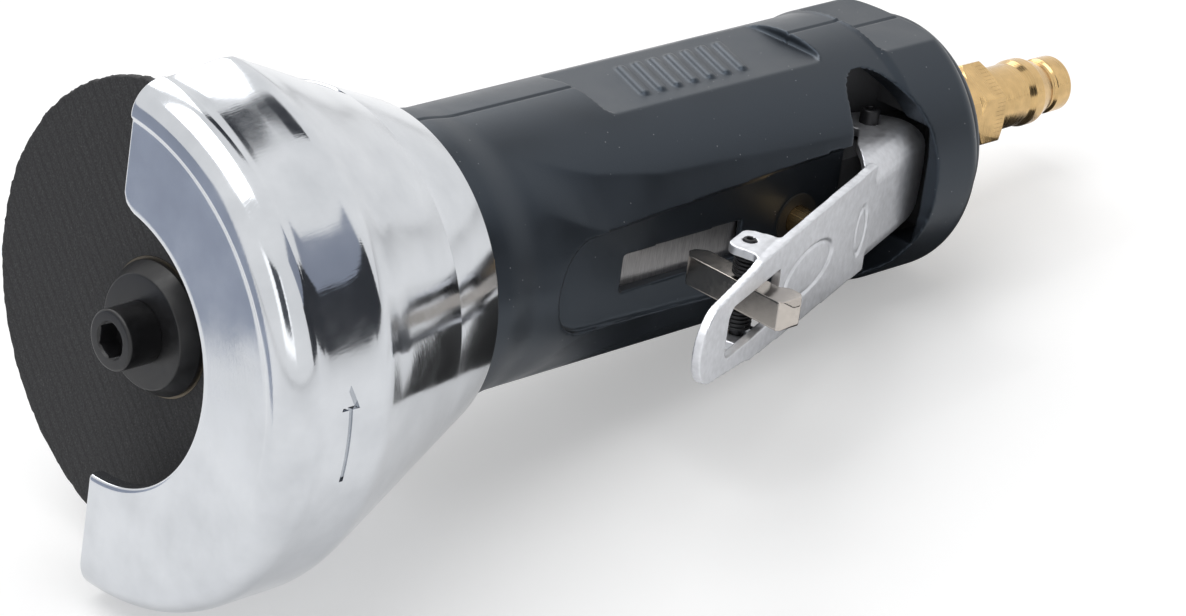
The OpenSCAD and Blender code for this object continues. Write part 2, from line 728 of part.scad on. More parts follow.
// Guard: half bell, full collar and the grub screw opposite the lever.
lip_back = guard_wall - lip_front;
band_inner_r = guard_r - guard_wall;
inner_round = rounding(band_inner_r - guard_inner_round, lip_back + guard_inner_round,
                       guard_inner_round, 0, -90);
bell = concat(
  [[lip_bore / 2, lip_back], [lip_bore / 2, -lip_front]],
  rounding(guard_r - guard_round, guard_round - lip_front, guard_round, -90, 0),
  [[guard_r, band_back], [cone_front_r, cone_front],
   [collar_d / 2, collar_back], [sleeve_bore_r, collar_back], [sleeve_bore_r, collar_front],
   [collar_d / 2 + cone_drop_share * collar_len - cone_wall, collar_front],
   [cone_front_r - cone_wall, cone_front], [band_inner_r, band_back]],
  inner_round);

grub_x = (collar_front + collar_back) / 2;

module guard() on_bench() color([0.8, 0.81, 0.82]) difference() {
  turned(bell);
  rotate([guard_turn, 0, 0]) block(-lip_front - over, collar_front + over, 0, guard_d, guard_d);
  cross_rod(grub_x, 0, collar_d, grub_d / 2 + fit);
}

module guard_grub_screw() on_bench() color([0.12, 0.12, 0.13]) difference() {
  cross_rod(grub_x, sleeve_bore_r, sleeve_bore_r + grub_len, grub_d / 2);
  translate([grub_x, sleeve_bore_r + grub_len / 2, 0]) rotate([-90, 0, 0])
    cylinder(h = grub_len, r = grub_af / 2 * hex_r_share, $fn = hex_sides);
}

// Two side slots for the lever's cheeks, and the low end of the boss between them.
module lever_slots(reach) {
  for (s = [0, 1]) mirror([0, 0, s]) translate([slot_front, -reach, boss_half])
    cube([slot_back - slot_front, reach - slot_floor, slot_half - boss_half]);
  block(low_front, slot_back, -reach, -low_drop, slot_half);
}

module motor_housing() on_bench() color([0.62, 0.63, 0.64]) difference() {
  rod(housing_front, housing_back, housing_r);
  rod(housing_front - over, motor_back, motor_bore_r);
  rod(motor_back - over, motor_back + relief_deep, relief_r);
  block(flat_front, low_front + over, -housing_d, -flat_drop, housing_d);
  lever_slots(housing_d);
  for (s = [0, 1]) mirror([0, 0, s]) translate([arch_front, -housing_d, boss_half])
    cube([arch_back - arch_front, housing_d - slot_floor, housing_d]);
  exhaust_cuts(motor_back - over, felt_front + over);
  cross_rod(valve_x, -housing_d, -bush_inner, bush_d / 2);
  cross_rod(valve_x, -bush_inner - over, 0, seat_bore / 2);
  cross_rod(valve_x, -seat_drop, housing_d, chamber_bore / 2);
  translate([0, -feed_drop, 0]) rod(motor_back - over, valve_x, feed_d / 2);
  rod(valve_x, housing_back, supply_d / 2);
  rod(inlet_front, housing_back + over, inlet_d / 2 + fit);
  tube(felt_front, housing_back + over, felt_d / 2 + fit, felt_hole / 2 - fit);
  pin_rod(pivot_x, -pivot_drop, boss_w + over, pivot_d / 2 + fit);
}

// Grip: a sleeve with flared front, rear ring, flats, lever pocket, arched opening and window.
grip_outline = concat(
  [[0, grip_front]],
  rounding(flare_r - flare_round, grip_front + flare_round, flare_round, -90, 0),
  [[grip_r, grip_front + flare_len], [grip_r, ring_front - ring_step], [ring_r, ring_front]],
  rounding(ring_r - ring_round, grip_back - ring_round, ring_round, 0, 90),
  [[0, grip_back]]);

module pocket() {
  half_front = pocket_front_w / 2;
  half_back = pocket_back_w / 2;
  start = pocket_front + half_front;
  intersection() {
    slab(-grip_d, 0, [[start, -half_front], [arch_front + over, -half_back],
                      [arch_front + over, half_back], [start, half_front]]);
    linear_extrude(grip_d, center = true)
      polygon([[start, -grip_d], [arch_front + over, -grip_d],
               [arch_front + over, -flat_drop - pocket_rear_skin], [start, -pocket_floor]]);
  }
  cross_rod(start, -grip_d, -pocket_floor, half_front);
}

module arch() {
  half = arch_w / 2;
  block(arch_front, arch_back - arch_round, -grip_d, 0, half);
  block(arch_front, arch_back, -grip_d, 0, half - arch_round);
  for (s = [-1, 1]) translate([0, 0, s * (half - arch_round)])
    cross_rod(arch_back - arch_round, -grip_d, 0, arch_round);
}

module grip() on_bench() color([0.05, 0.05, 0.055]) difference() {
  turned(grip_outline);
  difference() {
    rod(grip_front - over, grip_back + over, sleeve_bore_r);
    block(flat_front + clear, slot_front - clear, -housing_d, -flat_drop - fit, housing_d);
  }
  pocket();
  arch();
  block(slot_front - clear, arch_front + over, -grip_d, 0, slot_half);
  block(arch_back - over, slot_back, -roof_drop, 0, slot_half);
  translate([0, 0, -window_drop]) block(window_front, window_back, -grip_d, 0, window_w / 2);
  cross_rod(valve_x, -grip_d, 0, bush_d / 2 + clear);
  for (s = [0, 1]) mirror([0, 0, s]) translate([panel_front, -grip_d, panel_rise])
    cube([panel_back - panel_front, grip_d * 2, grip_d]);
  translate([pad_front, -grip_d, pad_rise]) cube([grip_d, grip_d * 2, grip_d]);
}

// Exhaust and inlet at the rear end.
module muffler_felt() on_bench() color([0.75, 0.73, 0.66])
  tube(felt_front, housing_back, felt_d / 2, felt_hole / 2);

cover_outline = concat(
  [[cover_hole / 2, housing_back]],
  [[housing_r - fit, housing_back]],
  rounding(housing_r - fit - cover_round, housing_back + cover_t - cover_round, cover_round, 0, 90),
  [[cover_hole / 2, housing_back + cover_t]]);

module exhaust_cover() on_bench() color([0.07, 0.07, 0.075]) difference() {
  turned(cover_outline);
  for (i = [0:vent_n - 1]) rotate([360 * (i + 0.5) / vent_n, 0, 0]) translate([0, vent_r, 0])
    rod(housing_back - over, housing_back + cover_t + over, vent_d / 2);
}

module inlet_bush() on_bench() color([0.74, 0.56, 0.28]) difference() {
  union() {
    rod(inlet_front, inlet_hex_front, inlet_d / 2);
    hex_rod(inlet_hex_front, inlet_back, inlet_af);
  }
  rod(inlet_front - over, inlet_back, inlet_bore / 2);
  rod(inlet_back - plug_hole_deep, inlet_back + over, plug_thread_d / 2 + fit);
}

screen_shares = [[0, 1], [0.5, 6]];
module inlet_screen() on_bench() color([0.7, 0.6, 0.35]) difference() {
  rod(inlet_back - plug_hole_deep, inlet_back - plug_hole_deep + screen_t, plug_thread_d / 2);
  for (row = screen_shares) for (i = [0:row[1] - 1]) rotate([360 * i / row[1], 0, 0])
    translate([0, row[0] * inlet_bore / 2, 0])
      rod(inlet_back - plug_hole_deep - over, inlet_back, screen_hole / 2);
}

plug_hex_outer = plug_af / 2 * hex_r_share;
module air_plug() on_bench() color([0.74, 0.57, 0.25]) difference() {
  union() {
    rod(inlet_back - plug_hole_deep + screen_t, inlet_back, plug_thread_d / 2);
    intersection() {
      hex_rod(inlet_back, plug_hex_back, plug_af);
      turned([[0, inlet_back], [plug_hex_outer - plug_chamfer, inlet_back],
              [plug_hex_outer, inlet_back + plug_chamfer], [plug_hex_outer, plug_hex_back - plug_chamfer],
              [plug_hex_outer - plug_chamfer, plug_hex_back], [0, plug_hex_back]]);
    }
    turned([[0, plug_hex_back], [plug_body_d / 2, plug_hex_back], [plug_body_d / 2, plug_body_back],
            [plug_collar_d / 2, plug_body_back + plug_chamfer],
            [plug_collar_d / 2, plug_collar_back - plug_chamfer],
            [plug_groove_d / 2, plug_groove_back - plug_chamfer], [plug_groove_d / 2, plug_groove_back],
            [plug_tip_d / 2, plug_groove_back + plug_chamfer], [plug_tip_d / 2, plug_back - plug_tip_cut],
            [plug_tip_d / 2 - plug_tip_cut, plug_back], [0, plug_back]]);
  }
  rod(inlet_back - plug_hole_deep, plug_back + over, plug_bore / 2);
}

// Lever of bent sheet: arm, rear channel with two cheeks, and ears for the lock.
module lever_plan() {
  half_cheek = cheek_w / 2;
  half_arm = arm_w / 2;
  half_tip = tip_w / 2;
  tip_mid = lever_reach - half_tip;
  slab(lever_inner, lever_rise,
       [[rear_cut - lever_tail, -half_cheek], [cheek_reach, -half_cheek], [cheek_reach + rear_cut, -half_arm],
        [lock_run + ear_len / 2, -half_arm], [tip_mid, -half_tip], [tip_mid, half_tip],
        [lock_run + ear_len / 2, half_arm], [cheek_reach + rear_cut, half_arm], [cheek_reach, half_cheek],
        [rear_cut - lever_tail, half_cheek], [-lever_tail, half_cheek - rear_cut],
        [-lever_tail, rear_cut - half_cheek]]);
  translate([tip_mid, lever_inner, 0]) rotate([-90, 0, 0]) cylinder(h = lever_t, r = half_tip);
}

cheek_front_share = 0.62;
module cheek() {
  linear_extrude(lever_t)
    polygon([[-cheek_r, 0], [rear_cut - lever_tail, lever_inner], [cheek_reach, lever_inner],
             [cheek_reach * cheek_front_share, lever_inner - cheek_r], [cheek_r, 0]]);
  cylinder(h = lever_t, r = cheek_r);
}

module ear() {
  half = ear_len / 2;
  linear_extrude(lever_t)
    polygon([[lock_run - ear_past, lock_rise], [lock_run - half, lever_inner],
             [lock_run + half, lever_inner], [lock_run + ear_past, lock_rise]]);
  translate([lock_run, lock_rise, 0]) cylinder(h = lever_t, r = ear_past);
}

module throttle_lever() on_bench() color([0.74, 0.75, 0.76]) on_lever() difference() {
  union() {
    lever_plan();
    for (s = [0, 1]) mirror([0, 0, s]) {
      translate([0, 0, cheek_w / 2 - lever_t]) cheek();
      translate([0, 0, arm_w / 2 - lever_t]) ear();
    }
  }
  pin_rod(0, 0, cheek_w + over, pivot_d / 2 + running);
  pin_rod(lock_run, lock_rise, cheek_w, lock_pin_d / 2 + fit);
  block(lock_slot_back, lock_slot_front - lock_slot_w / 2, 0, lever_rise + over, lock_slot_w / 2);
  cross_rod(lock_slot_front - lock_slot_w / 2, lever_inner - over, lever_rise + over, lock_slot_w / 2);
}

module lever_pin() on_bench() color([0.08, 0.08, 0.085]) difference() {
  pin_rod(pivot_x, -pivot_drop, pivot_len, pivot_d / 2);
  pin_rod(pivot_x, -pivot_drop, pivot_len + over, pivot_bore / 2);
}

// Lock: a bar on its pin, with the finger towards the housing and the thumb end outside the lever's slot.
lock_half = lock_t / 2;
lock_outline = [
  [-lock_half, finger_len - finger_cut], [finger_cut - lock_half, finger_len],
  [lock_half - finger_cut, finger_len], [lock_half, finger_len - finger_cut],
  [lock_half, head_len - thumb_len], [lock_half + head_past, head_len - head_past - thumb_len],
  [lock_half + head_past, head_cut - thumb_len], [lock_half + head_past - head_cut, -thumb_len],
  [0, -thumb_len], [-lock_half, head_past - thumb_len]];

module lock_catch() on_bench() color([0.46, 0.4, 0.34]) translate([lock_x, lock_y, 0]) difference() {
  linear_extrude(lock_w, center = true) polygon(lock_outline);
  pin_rod(0, 0, lock_w + over, lock_pin_d / 2 + running);
}

module lock_pin() on_bench() color([0.1, 0.1, 0.105])
  on_lever() pin_rod(lock_run, lock_rise, lock_pin_len, lock_pin_d / 2);

// Torsion spring of the lock, coiled on its pin beside the bar.
lock_spring_z = lock_w / 2 + clear + lock_wire_d / 2;
lock_curl = curl_path(lock_coil_r, lock_pitch, lock_curls);
lock_last = lock_curl[len(lock_curl) - 1];
lock_path = concat([[lock_coil_r, -lock_leg, 0]], lock_curl, [lock_last + lock_leg * [-1, 0, 0]]);

module lock_spring() on_bench() color([0.07, 0.07, 0.075]) on_lever()
  translate([lock_run, lock_rise, lock_spring_z]) wire(lock_path, lock_wire_d / 2);

// Throttle valve across the housing.
module valve_stem() on_bench() color([0.75, 0.6, 0.3]) union() {
  cross_rod(valve_x, stem_y, seal_y, stem_r);
  translate([valve_x, stem_y, 0]) sphere(r = stem_r);
  cross_rod(valve_x, seal_y, head_y, stem_r);
  cross_rod(valve_x, head_y, spring_y, head_d / 2);
}

module valve_seal() on_bench() color([0.12, 0.11, 0.1]) difference() {
  cross_rod(valve_x, seal_y, head_y, head_d / 2);
  cross_rod(valve_x, seal_y - over, head_y + over, stem_r + fit);
}

module valve_bush() on_bench() color([0.76, 0.6, 0.28]) difference() {
  cross_rod(valve_x, -bush_outer, -bush_inner, bush_d / 2 - fit);
  cross_rod(valve_x, -bush_outer - over, over - bush_inner, stem_r + running);
}

valve_path = curl_path(valve_coil_r, valve_pitch, valve_curls);
module valve_spring() on_bench() color([0.5, 0.5, 0.52])
  translate([valve_x, spring_y + valve_wire_d / 2, 0]) rotate([-90, 0, 0]) wire(valve_path, valve_wire_d / 2);

module valve_plug() on_bench() color([0.5, 0.5, 0.5])
  cross_rod(valve_x, plug_inner, plug_outer, chamber_bore / 2 - fit);

echo(lock_spring_gap = self_gap(lock_curl, lock_wire_d), valve_spring_gap = self_gap(valve_path, valve_wire_d));
echo(tilt = tilt, lift = lift, middle_x = middle_x, middle_y = middle_y);
echo(lock_x = lock_x, lock_y = lock_y, stem_y = stem_y);

cutting_disc();
disc_ring();
outer_flange();
inner_flange();
disc_screw();
rotor();
rotor_vanes();
front_bearing_inner();
front_bearing_balls();
front_bearing_cage();
front_bearing_outer();
rear_bearing_inner();
rear_bearing_balls();
rear_bearing_cage();
rear_bearing_outer();
front_end_plate();
rear_end_plate();
cylinder_liner();
cylinder_dowel();
clamp_nut();
guard();
guard_grub_screw();
motor_housing();
grip();
muffler_felt();
exhaust_cover();
inlet_bush();
inlet_screen();
air_plug();
throttle_lever();
lever_pin();
lock_catch();
lock_pin();
lock_spring();
valve_stem();
valve_seal();
valve_bush();
valve_spring();
valve_plug();
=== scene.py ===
import math

import bmesh
import bpy
import numpy as np
from mathutils import Matrix, Vector


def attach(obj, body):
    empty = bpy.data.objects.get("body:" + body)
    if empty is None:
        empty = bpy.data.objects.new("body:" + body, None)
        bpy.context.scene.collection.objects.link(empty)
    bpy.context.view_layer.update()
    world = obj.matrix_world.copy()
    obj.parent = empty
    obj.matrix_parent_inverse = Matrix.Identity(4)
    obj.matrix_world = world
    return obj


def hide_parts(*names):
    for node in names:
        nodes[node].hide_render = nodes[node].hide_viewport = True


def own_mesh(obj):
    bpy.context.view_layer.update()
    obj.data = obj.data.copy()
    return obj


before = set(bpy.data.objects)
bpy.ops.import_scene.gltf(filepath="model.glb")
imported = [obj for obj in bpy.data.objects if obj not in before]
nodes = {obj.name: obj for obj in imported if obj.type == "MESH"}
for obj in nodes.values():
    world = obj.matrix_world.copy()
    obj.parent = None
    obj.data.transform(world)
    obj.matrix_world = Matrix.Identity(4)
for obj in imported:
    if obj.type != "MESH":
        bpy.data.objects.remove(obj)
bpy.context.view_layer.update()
scene = bpy.context.scene
mm = 0.001  # the tool is drawn in mm, the scene is in metres
print("stage 1: frame loaded,", len(nodes), "CAD nodes")

# The tool's own frame in mm: x along the spindle to the rear, z up, lever at -y. It stands tilted on the bench.
bench = {"tilt": 7.1781, "move": (-93.54476, 5.44531, 42.1376)}
benchMatrix = (Matrix.Translation(Vector(bench["move"]) * mm)
               @ Matrix.Rotation(math.radians(bench["tilt"]), 4, "Y") @ Matrix.Scale(mm, 4))


def newMesh(name, points, faces):
    mesh = bpy.data.meshes.new(name)
    mesh.from_pydata([tuple(map(float, p)) for p in points], [], [tuple(map(int, f)) for f in faces])
    piece = bpy.data.objects.new(name, mesh)
    scene.collection.objects.link(piece)
    return piece


def weld(piece, gap=0.0005):
    work = bmesh.new()
    work.from_mesh(piece.data)
    bmesh.ops.remove_doubles(work, verts=work.verts, dist=gap)
    bmesh.ops.dissolve_degenerate(work, edges=work.edges, dist=gap)
    bmesh.ops.recalc_face_normals(work, faces=work.faces)
    work.to_mesh(piece.data)
    work.free()
    return piece


def bake(piece):
    graph = bpy.context.evaluated_depsgraph_get()
    made = bpy.data.meshes.new_from_object(piece.evaluated_get(graph))
    piece.modifiers.clear()
    piece.data = made
    return piece


def carve(piece, tool, how="DIFFERENCE"):
    step = piece.modifiers.new("carve", "BOOLEAN")
    step.operation, step.solver, step.object = how, "EXACT", tool
    bake(piece)
    bpy.data.objects.remove(tool)
    return piece


def readPoints(piece):
    points = np.zeros(len(piece.data.vertices) * 3)
    piece.data.vertices.foreach_get("co", points)
    return points.reshape(-1, 3)


def writePoints(piece, points):
    piece.data.vertices.foreach_set("co", points.ravel())
    return piece


def soften(piece, voxel, passes=3):  # even skin with rounded edges
    skin = piece.modifiers.new("skin", "REMESH")
    skin.mode, skin.voxel_size, skin.use_smooth_shade = "VOXEL", voxel, True
    ease = piece.modifiers.new("ease", "SMOOTH")
    ease.factor, ease.iterations = 0.5, passes
    return bake(piece)


def joined(name, *pieces):
    made = bmesh.new()
    for piece in pieces:
        made.from_mesh(piece.data)
        bpy.data.objects.remove(piece)
    result = newMesh(name, [], [])
    made.to_mesh(result.data)
    made.free()
    return result


def dress(piece, finish):
    piece.data.materials.clear()
    piece.data.materials.append(finish)


def settle(piece, body, slot, finish, *stoodFor, sharp=40):  # onto the bench, in metres, and onto its body
    piece.data.transform(benchMatrix)
    piece.data.shade_smooth()
    piece.data.set_sharp_from_angle(angle=math.radians(sharp))
    dress(piece, finish)
    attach(piece, body)
    if stoodFor:
        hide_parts(*stoodFor)
    return piece


def onAxis(r, x, turn):  # turn in degrees from the top towards the lever
    t = np.radians(turn)
    r, x, t = np.broadcast_arrays(np.asarray(r, float), np.asarray(x, float), t)
    return np.stack([x, -r * np.sin(t), r * np.cos(t)], -1)


def gridFaces(rows, cols, wrapRows=False, wrapCols=False):
    faces = []
    for i in range(rows if wrapRows else rows - 1):
        for k in range(cols if wrapCols else cols - 1):
            a, b = i * cols, (i + 1) % rows * cols
            m = (k + 1) % cols
            faces.append((a + k, a + m, b + m, b + k))
    return faces


def rounded(points, steps=5):  # closed outline of (r, x, size): each corner gets a rounding of its size
    made = []
    for i, p in enumerate(points):
        here = np.array(p[:2], float)
        if len(p) < 3 or p[2] <= 0:
            made.append(tuple(here))
            continue
        before, after = np.array(points[i - 1][:2], float), np.array(points[(i + 1) % len(points)][:2], float)
        a, b = before - here, after - here
        la, lb = np.linalg.norm(a), np.linalg.norm(b)
        a, b = a / la, b / lb
        half = math.acos(max(-1, min(1, float(a @ b)))) / 2
        run = min(p[2] / math.tan(half), 0.49 * la, 0.49 * lb)
        size = run * math.tan(half)
        middle = here + (a + b) / np.linalg.norm(a + b) * size / math.sin(half)
        start, end = here + a * run - middle, here + b * run - middle
        for k in range(steps + 1):
            t = k / steps
            way = start * (1 - t) + end * t
            made.append(tuple(middle + way / np.linalg.norm(way) * size))
    return made


def lathe(name, outline, steps=144):  # closed outline of (r, x) turned about the spindle's axis
    outline = np.array(outline, float)
    turns = np.arange(steps) * 360 / steps
    points = onAxis(outline[None, :, 0], outline[None, :, 1], turns[:, None]).reshape(-1, 3)
    return weld(newMesh(name, points, gridFaces(steps, len(outline), True, True)))


def prism(name, outline, low, high, place):  # outline of (u, v) drawn out from low to high by place(u, v, w)
    n = len(outline)
    points = [place(u, v, low) for u, v in outline] + [place(u, v, high) for u, v in outline]
    faces = [tuple(range(n))[::-1], tuple(range(n, 2 * n))]
    faces += [(k, (k + 1) % n, n + (k + 1) % n, n + k) for k in range(n)]
    return weld(newMesh(name, points, faces))


def asDrawn(u, v, w):  # drawn in x, y and pulled along z
    return (u, v, w)


def planXZ(u, v, w):  # drawn in x, z and pulled along y
    return (u, w, v)


def alongAxis(u, v, w):  # drawn in y, z and pulled along x
    return (w, u, v)


def arc(middle, r, angles):  # points at so many degrees round a middle
    return [(middle[0] + r * math.cos(math.radians(a)), middle[1] + r * math.sin(math.radians(a))) for a in angles]


def circle(middle, r):
    return arc(middle, r, np.arange(0, 360, 7.5))


def roundedBox(u0, u1, v0, v1, size):
    return rounded([(u0, v0, size), (u1, v0, size), (u1, v1, size), (u0, v1, size)], 6)


# Finishes. Every texture is laid out in the tool's own mm, so the scales below are millimetres.
def newFinish(name, colour, rough, metal=0.0, **sockets):
    finish = bpy.data.materials.new(name)
    finish.use_nodes = True
    finish.diffuse_color = (*colour, 1)
    shader = finish.node_tree.nodes["Principled BSDF"]
    shader.inputs["Base Color"].default_value = (*colour, 1)
    shader.inputs["Roughness"].default_value = rough
    shader.inputs["Metallic"].default_value = metal
    for socket, value in sockets.items():
        shader.inputs[socket.replace("_", " ")].default_value = value
    return finish, finish.node_tree, shader


def toolSpace(tree, stretch=(1, 1, 1), spin=(0, 0, 0)):
    source = tree.nodes.new("ShaderNodeTexCoord")
    lay = tree.nodes.new("ShaderNodeMapping")
    lay.vector_type = "TEXTURE"
    lay.inputs["Location"].default_value = Vector(bench["move"]) * mm
    lay.inputs["Rotation"].default_value = (0, math.radians(bench["tilt"]), 0)
    lay.inputs["Scale"].default_value = (mm, mm, mm)
    tree.links.new(source.outputs["Object"], lay.inputs["Vector"])
    if stretch == (1, 1, 1) and spin == (0, 0, 0):
        return lay.outputs["Vector"]
    pull = tree.nodes.new("ShaderNodeMapping")
    pull.inputs["Scale"].default_value = stretch
    pull.inputs["Rotation"].default_value = tuple(math.radians(a) for a in spin)
    tree.links.new(lay.outputs["Vector"], pull.inputs["Vector"])
    return pull.outputs["Vector"]


def noise(tree, scale, detail, where=None, socket="Vector"):  # in the tool's own space unless told otherwise
    node = tree.nodes.new("ShaderNodeTexNoise")
    node.noise_dimensions = "1D" if socket == "W" else "3D"
    node.inputs["Scale"].default_value = scale
    node.inputs["Detail"].default_value = detail
    tree.links.new(toolSpace(tree) if where is None else where, node.inputs[socket])
    return node.outputs["Fac"]


def ramp(tree, factor, *stops):  # stops of (place, grey or colour)
    node = tree.nodes.new("ShaderNodeValToRGB")
    bar = node.color_ramp.elements
    while len(bar) < len(stops):
        bar.new(0.5)
    for mark, (place, shade) in zip(bar, stops):
        mark.position = place
        mark.color = (shade, shade, shade, 1) if isinstance(shade, (int, float)) else (*shade, 1)
    tree.links.new(factor, node.inputs["Fac"])
    return node.outputs["Color"]


def blend(tree, factor, first, second):
    node = tree.nodes.new("ShaderNodeMix")
    node.data_type = "RGBA"
    for value, socket in ((factor, node.inputs[0]), (first, node.inputs[6]), (second, node.inputs[7])):
        if isinstance(value, (int, float)):
            socket.default_value = value
        elif isinstance(value, tuple):
            socket.default_value = (*value, 1)
        else:
            tree.links.new(value, socket)
    return node.outputs[2]


def bump(tree, shader, height, distance, strength=1.0, under=None):
    node = tree.nodes.new("ShaderNodeBump")
    node.inputs["Distance"].default_value = distance * mm
    node.inputs["Strength"].default_value = strength
    tree.links.new(height, node.inputs["Height"])
    if under is not None:
        tree.links.new(under, node.inputs["Normal"])
    tree.links.new(node.outputs["Normal"], shader.inputs["Normal"])
    return node.outputs["Normal"]


def lengthwise(tree):  # x alone, for marks that run round the axis
    split = tree.nodes.new("ShaderNodeSeparateXYZ")
    tree.links.new(toolSpace(tree), split.inputs["Vector"])
    return split.outputs["X"]


def tones(colour, dark, lit):
    return tuple(c * dark for c in colour), tuple(min(1, c * lit) for c in colour)


def between(tree, factor, low, high):  # the middle of a noise spread over two values or colours
    return ramp(tree, factor, (0.3, low), (0.7, high))


def drive(tree, shader, socket, value):
    tree.links.new(value, shader.inputs[socket])


def castGuard():  # polished cast aluminium: slow waves, cloudy polish and fine hair lines
    finish, tree, shader = newFinish("polishedCast", (0.62, 0.64, 0.67), 0.09, 1.0)
    clouds = noise(tree, 0.12, 4)
    hairs = noise(tree, 1.6, 5, toolSpace(tree, (0.25, 3.2, 0.5), (20, 0, 15)))
    drive(tree, shader, "Base Color", between(tree, clouds, (0.57, 0.59, 0.62), (0.67, 0.69, 0.72)))
    bright, dull = ramp(tree, clouds, (0.35, 0.05), (0.75, 0.16)), ramp(tree, clouds, (0.35, 0.09), (0.75, 0.24))
    drive(tree, shader, "Roughness", blend(tree, hairs, bright, dull))
    waves = bump(tree, shader, noise(tree, 0.06, 1), 0.3)
    bump(tree, shader, hairs, 0.006, under=waves)
    return finish


def moulded(name, colour, rough, speck):  # rubbery moulding with fine grain and a little pale dust
    finish, tree, shader = newFinish(name, colour, rough, Specular_IOR_Level=0.62,
                                     Specular_Tint=(0.66, 0.81, 1.0, 1.0))
    patches = noise(tree, 0.09, 3)
    grain = noise(tree, 5.5, 3)
    dust = tree.nodes.new("ShaderNodeTexVoronoi")
    dust.inputs["Scale"].default_value = 0.5
    tree.links.new(toolSpace(tree), dust.inputs["Vector"])
    body = between(tree, patches, *tones(colour, 0.8, 1.25))
    dots = ramp(tree, dust.outputs["Distance"], (0.03, speck), (0.065, 0.0))
    drive(tree, shader, "Base Color", blend(tree, dots, body, (0.55, 0.56, 0.58)))
    drive(tree, shader, "Roughness", between(tree, patches, rough - 0.06, rough + 0.07))
    bump(tree, shader, grain, 0.02, 0.7)
    return finish


def fibreDisc():  # resin bonded grit over a woven glass net
    black = (0.012, 0.012, 0.013)
    finish, tree, shader = newFinish("fibreDisc", (0.03, 0.03, 0.032), 0.78)
    grit = noise(tree, 3.2, 4)
    fine = noise(tree, 9.0, 2)
    net = tree.nodes.new("ShaderNodeTexWave")
    net.inputs["Scale"].default_value = 0.16
    net.inputs["Distortion"].default_value = 0.7
    net.inputs["Detail"].default_value = 2
    net.bands_direction = "Z"
    tree.links.new(toolSpace(tree, spin=(-52, 0, 0)), net.inputs["Vector"])
    stone = ramp(tree, grit, (0.3, black), (0.62, (0.030, 0.030, 0.032)), (0.8, (0.075, 0.074, 0.072)))
    threads = ramp(tree, net.outputs["Fac"], (0.0, 0.6), (0.3, 0.0))
    drive(tree, shader, "Base Color", blend(tree, threads, stone, black))
    drive(tree, shader, "Roughness", between(tree, fine, 0.66, 0.88))
    bump(tree, shader, grit, 0.08, 0.8)
    return finish


def coated(name, colour, rough, metal, grainScale, grainDepth, spread=1.0):  # mottled metal: black, plated or cast
    finish, tree, shader = newFinish(name, colour, rough, metal)
    mottle = noise(tree, grainScale * 0.12, 4)
    grain = noise(tree, grainScale, 3)
    shades = tones(colour, 1 - 0.18 * spread, 1 + 0.15 * spread)
    drive(tree, shader, "Base Color", between(tree, mottle, *shades))
    drive(tree, shader, "Roughness", between(tree, mottle, rough - 0.06 * spread, rough + 0.08 * spread))
    bump(tree, shader, grain, grainDepth)
    return finish


def turnedMetal(name, colour, rough):  # lathe lines round the axis
    finish, tree, shader = newFinish(name, colour, rough, 1.0)
    lines = noise(tree, 5.0, 3, lengthwise(tree), "W")
    mottle = noise(tree, 0.4, 3)
    drive(tree, shader, "Base Color", between(tree, mottle, *tones(colour, 0.86, 1.1)))
    drive(tree, shader, "Roughness", between(tree, lines, rough - 0.08, rough + 0.1))
    bump(tree, shader, lines, 0.02)
    return finish


def brushed(name, colour, rough, stretch, shadeFrom):  # bright metal in front, painted dark from there to the rear: painted shade for the recess under the lever's arch
    finish, tree, shader = newFinish(name, colour, rough, 1.0)
    strokes = noise(tree, 2.2, 4, toolSpace(tree, stretch))
    span = tree.nodes.new("ShaderNodeMapRange")
    span.inputs["From Min"].default_value, span.inputs["From Max"].default_value = shadeFrom
    tree.links.new(lengthwise(tree), span.inputs["Value"])
    black = span.outputs["Result"]
    bright = between(tree, strokes, *tones(colour, 0.7, 1.2))
    # near-black towards the rear: painted shade in the recess under the lever's arch
    drive(tree, shader, "Base Color", blend(tree, black, bright, (0.055, 0.056, 0.06)))
    drive(tree, shader, "Metallic", ramp(tree, black, (0.0, 1.0), (1.0, 0.0)))
    drive(tree, shader, "Roughness", between(tree, strokes, rough - 0.08, rough + 0.12))
    bump(tree, shader, strokes, 0.03)
    return finish


def layered(name, colour, rough, stretch):  # vane laminate and pressed felt
    finish, tree, shader = newFinish(name, colour, rough)
    fibres = noise(tree, 1.8, 5, toolSpace(tree, stretch))
    drive(tree, shader, "Base Color", between(tree, fibres, *tones(colour, 0.65, 1.2)))
    bump(tree, shader, fibres, 0.12)
    return finish


guardFinish = castGuard()
gripFinish = moulded("gripRubber", (0.0105, 0.0123, 0.0152), 0.38, 0.4)
coverFinish = moulded("coverPlastic", (0.012, 0.0125, 0.014), 0.42, 0.0)
discFinish = fibreDisc()
ringFinish = coated("discRing", (0.14, 0.12, 0.09), 0.42, 1.0, 3.0, 0.02)
oxideFinish = coated("blackOxide", (0.008, 0.008, 0.009), 0.36, 0.0, 7.0, 0.012)
pinFinish = coated("blackSteel", (0.02, 0.02, 0.022), 0.42, 0.6, 6.0, 0.012)
darkFinish = turnedMetal("darkSteel", (0.16, 0.16, 0.17), 0.34)
steelFinish = turnedMetal("groundSteel", (0.60, 0.60, 0.62), 0.26)
housingFinish = brushed("brushedHousing", (0.42, 0.41, 0.41), 0.4, (4.0, 1.0, 0.25), (108.0, 110.0))
brassFinish = turnedMetal("turnedBrass", (0.66, 0.45, 0.21), 0.18)
# near-black valve bush: painted shade for the dark valve hole in the grip's pocket
bushShadeFinish = coated("bushPaintedShade", (0.014, 0.012, 0.010), 0.6, 0.0, 3.0, 0.02)
leverFinish = coated("platedSheet", (0.68, 0.69, 0.72), 0.42, 1.0, 7.0, 0.007, 0.5)
lockFinish = coated("lockNickel", (0.52, 0.48, 0.44), 0.22, 1.0, 9.0, 0.0003, 0.35)
vaneFinish = layered("vaneLaminate", (0.34, 0.22, 0.11), 0.6, (0.3, 3.0, 3.0))
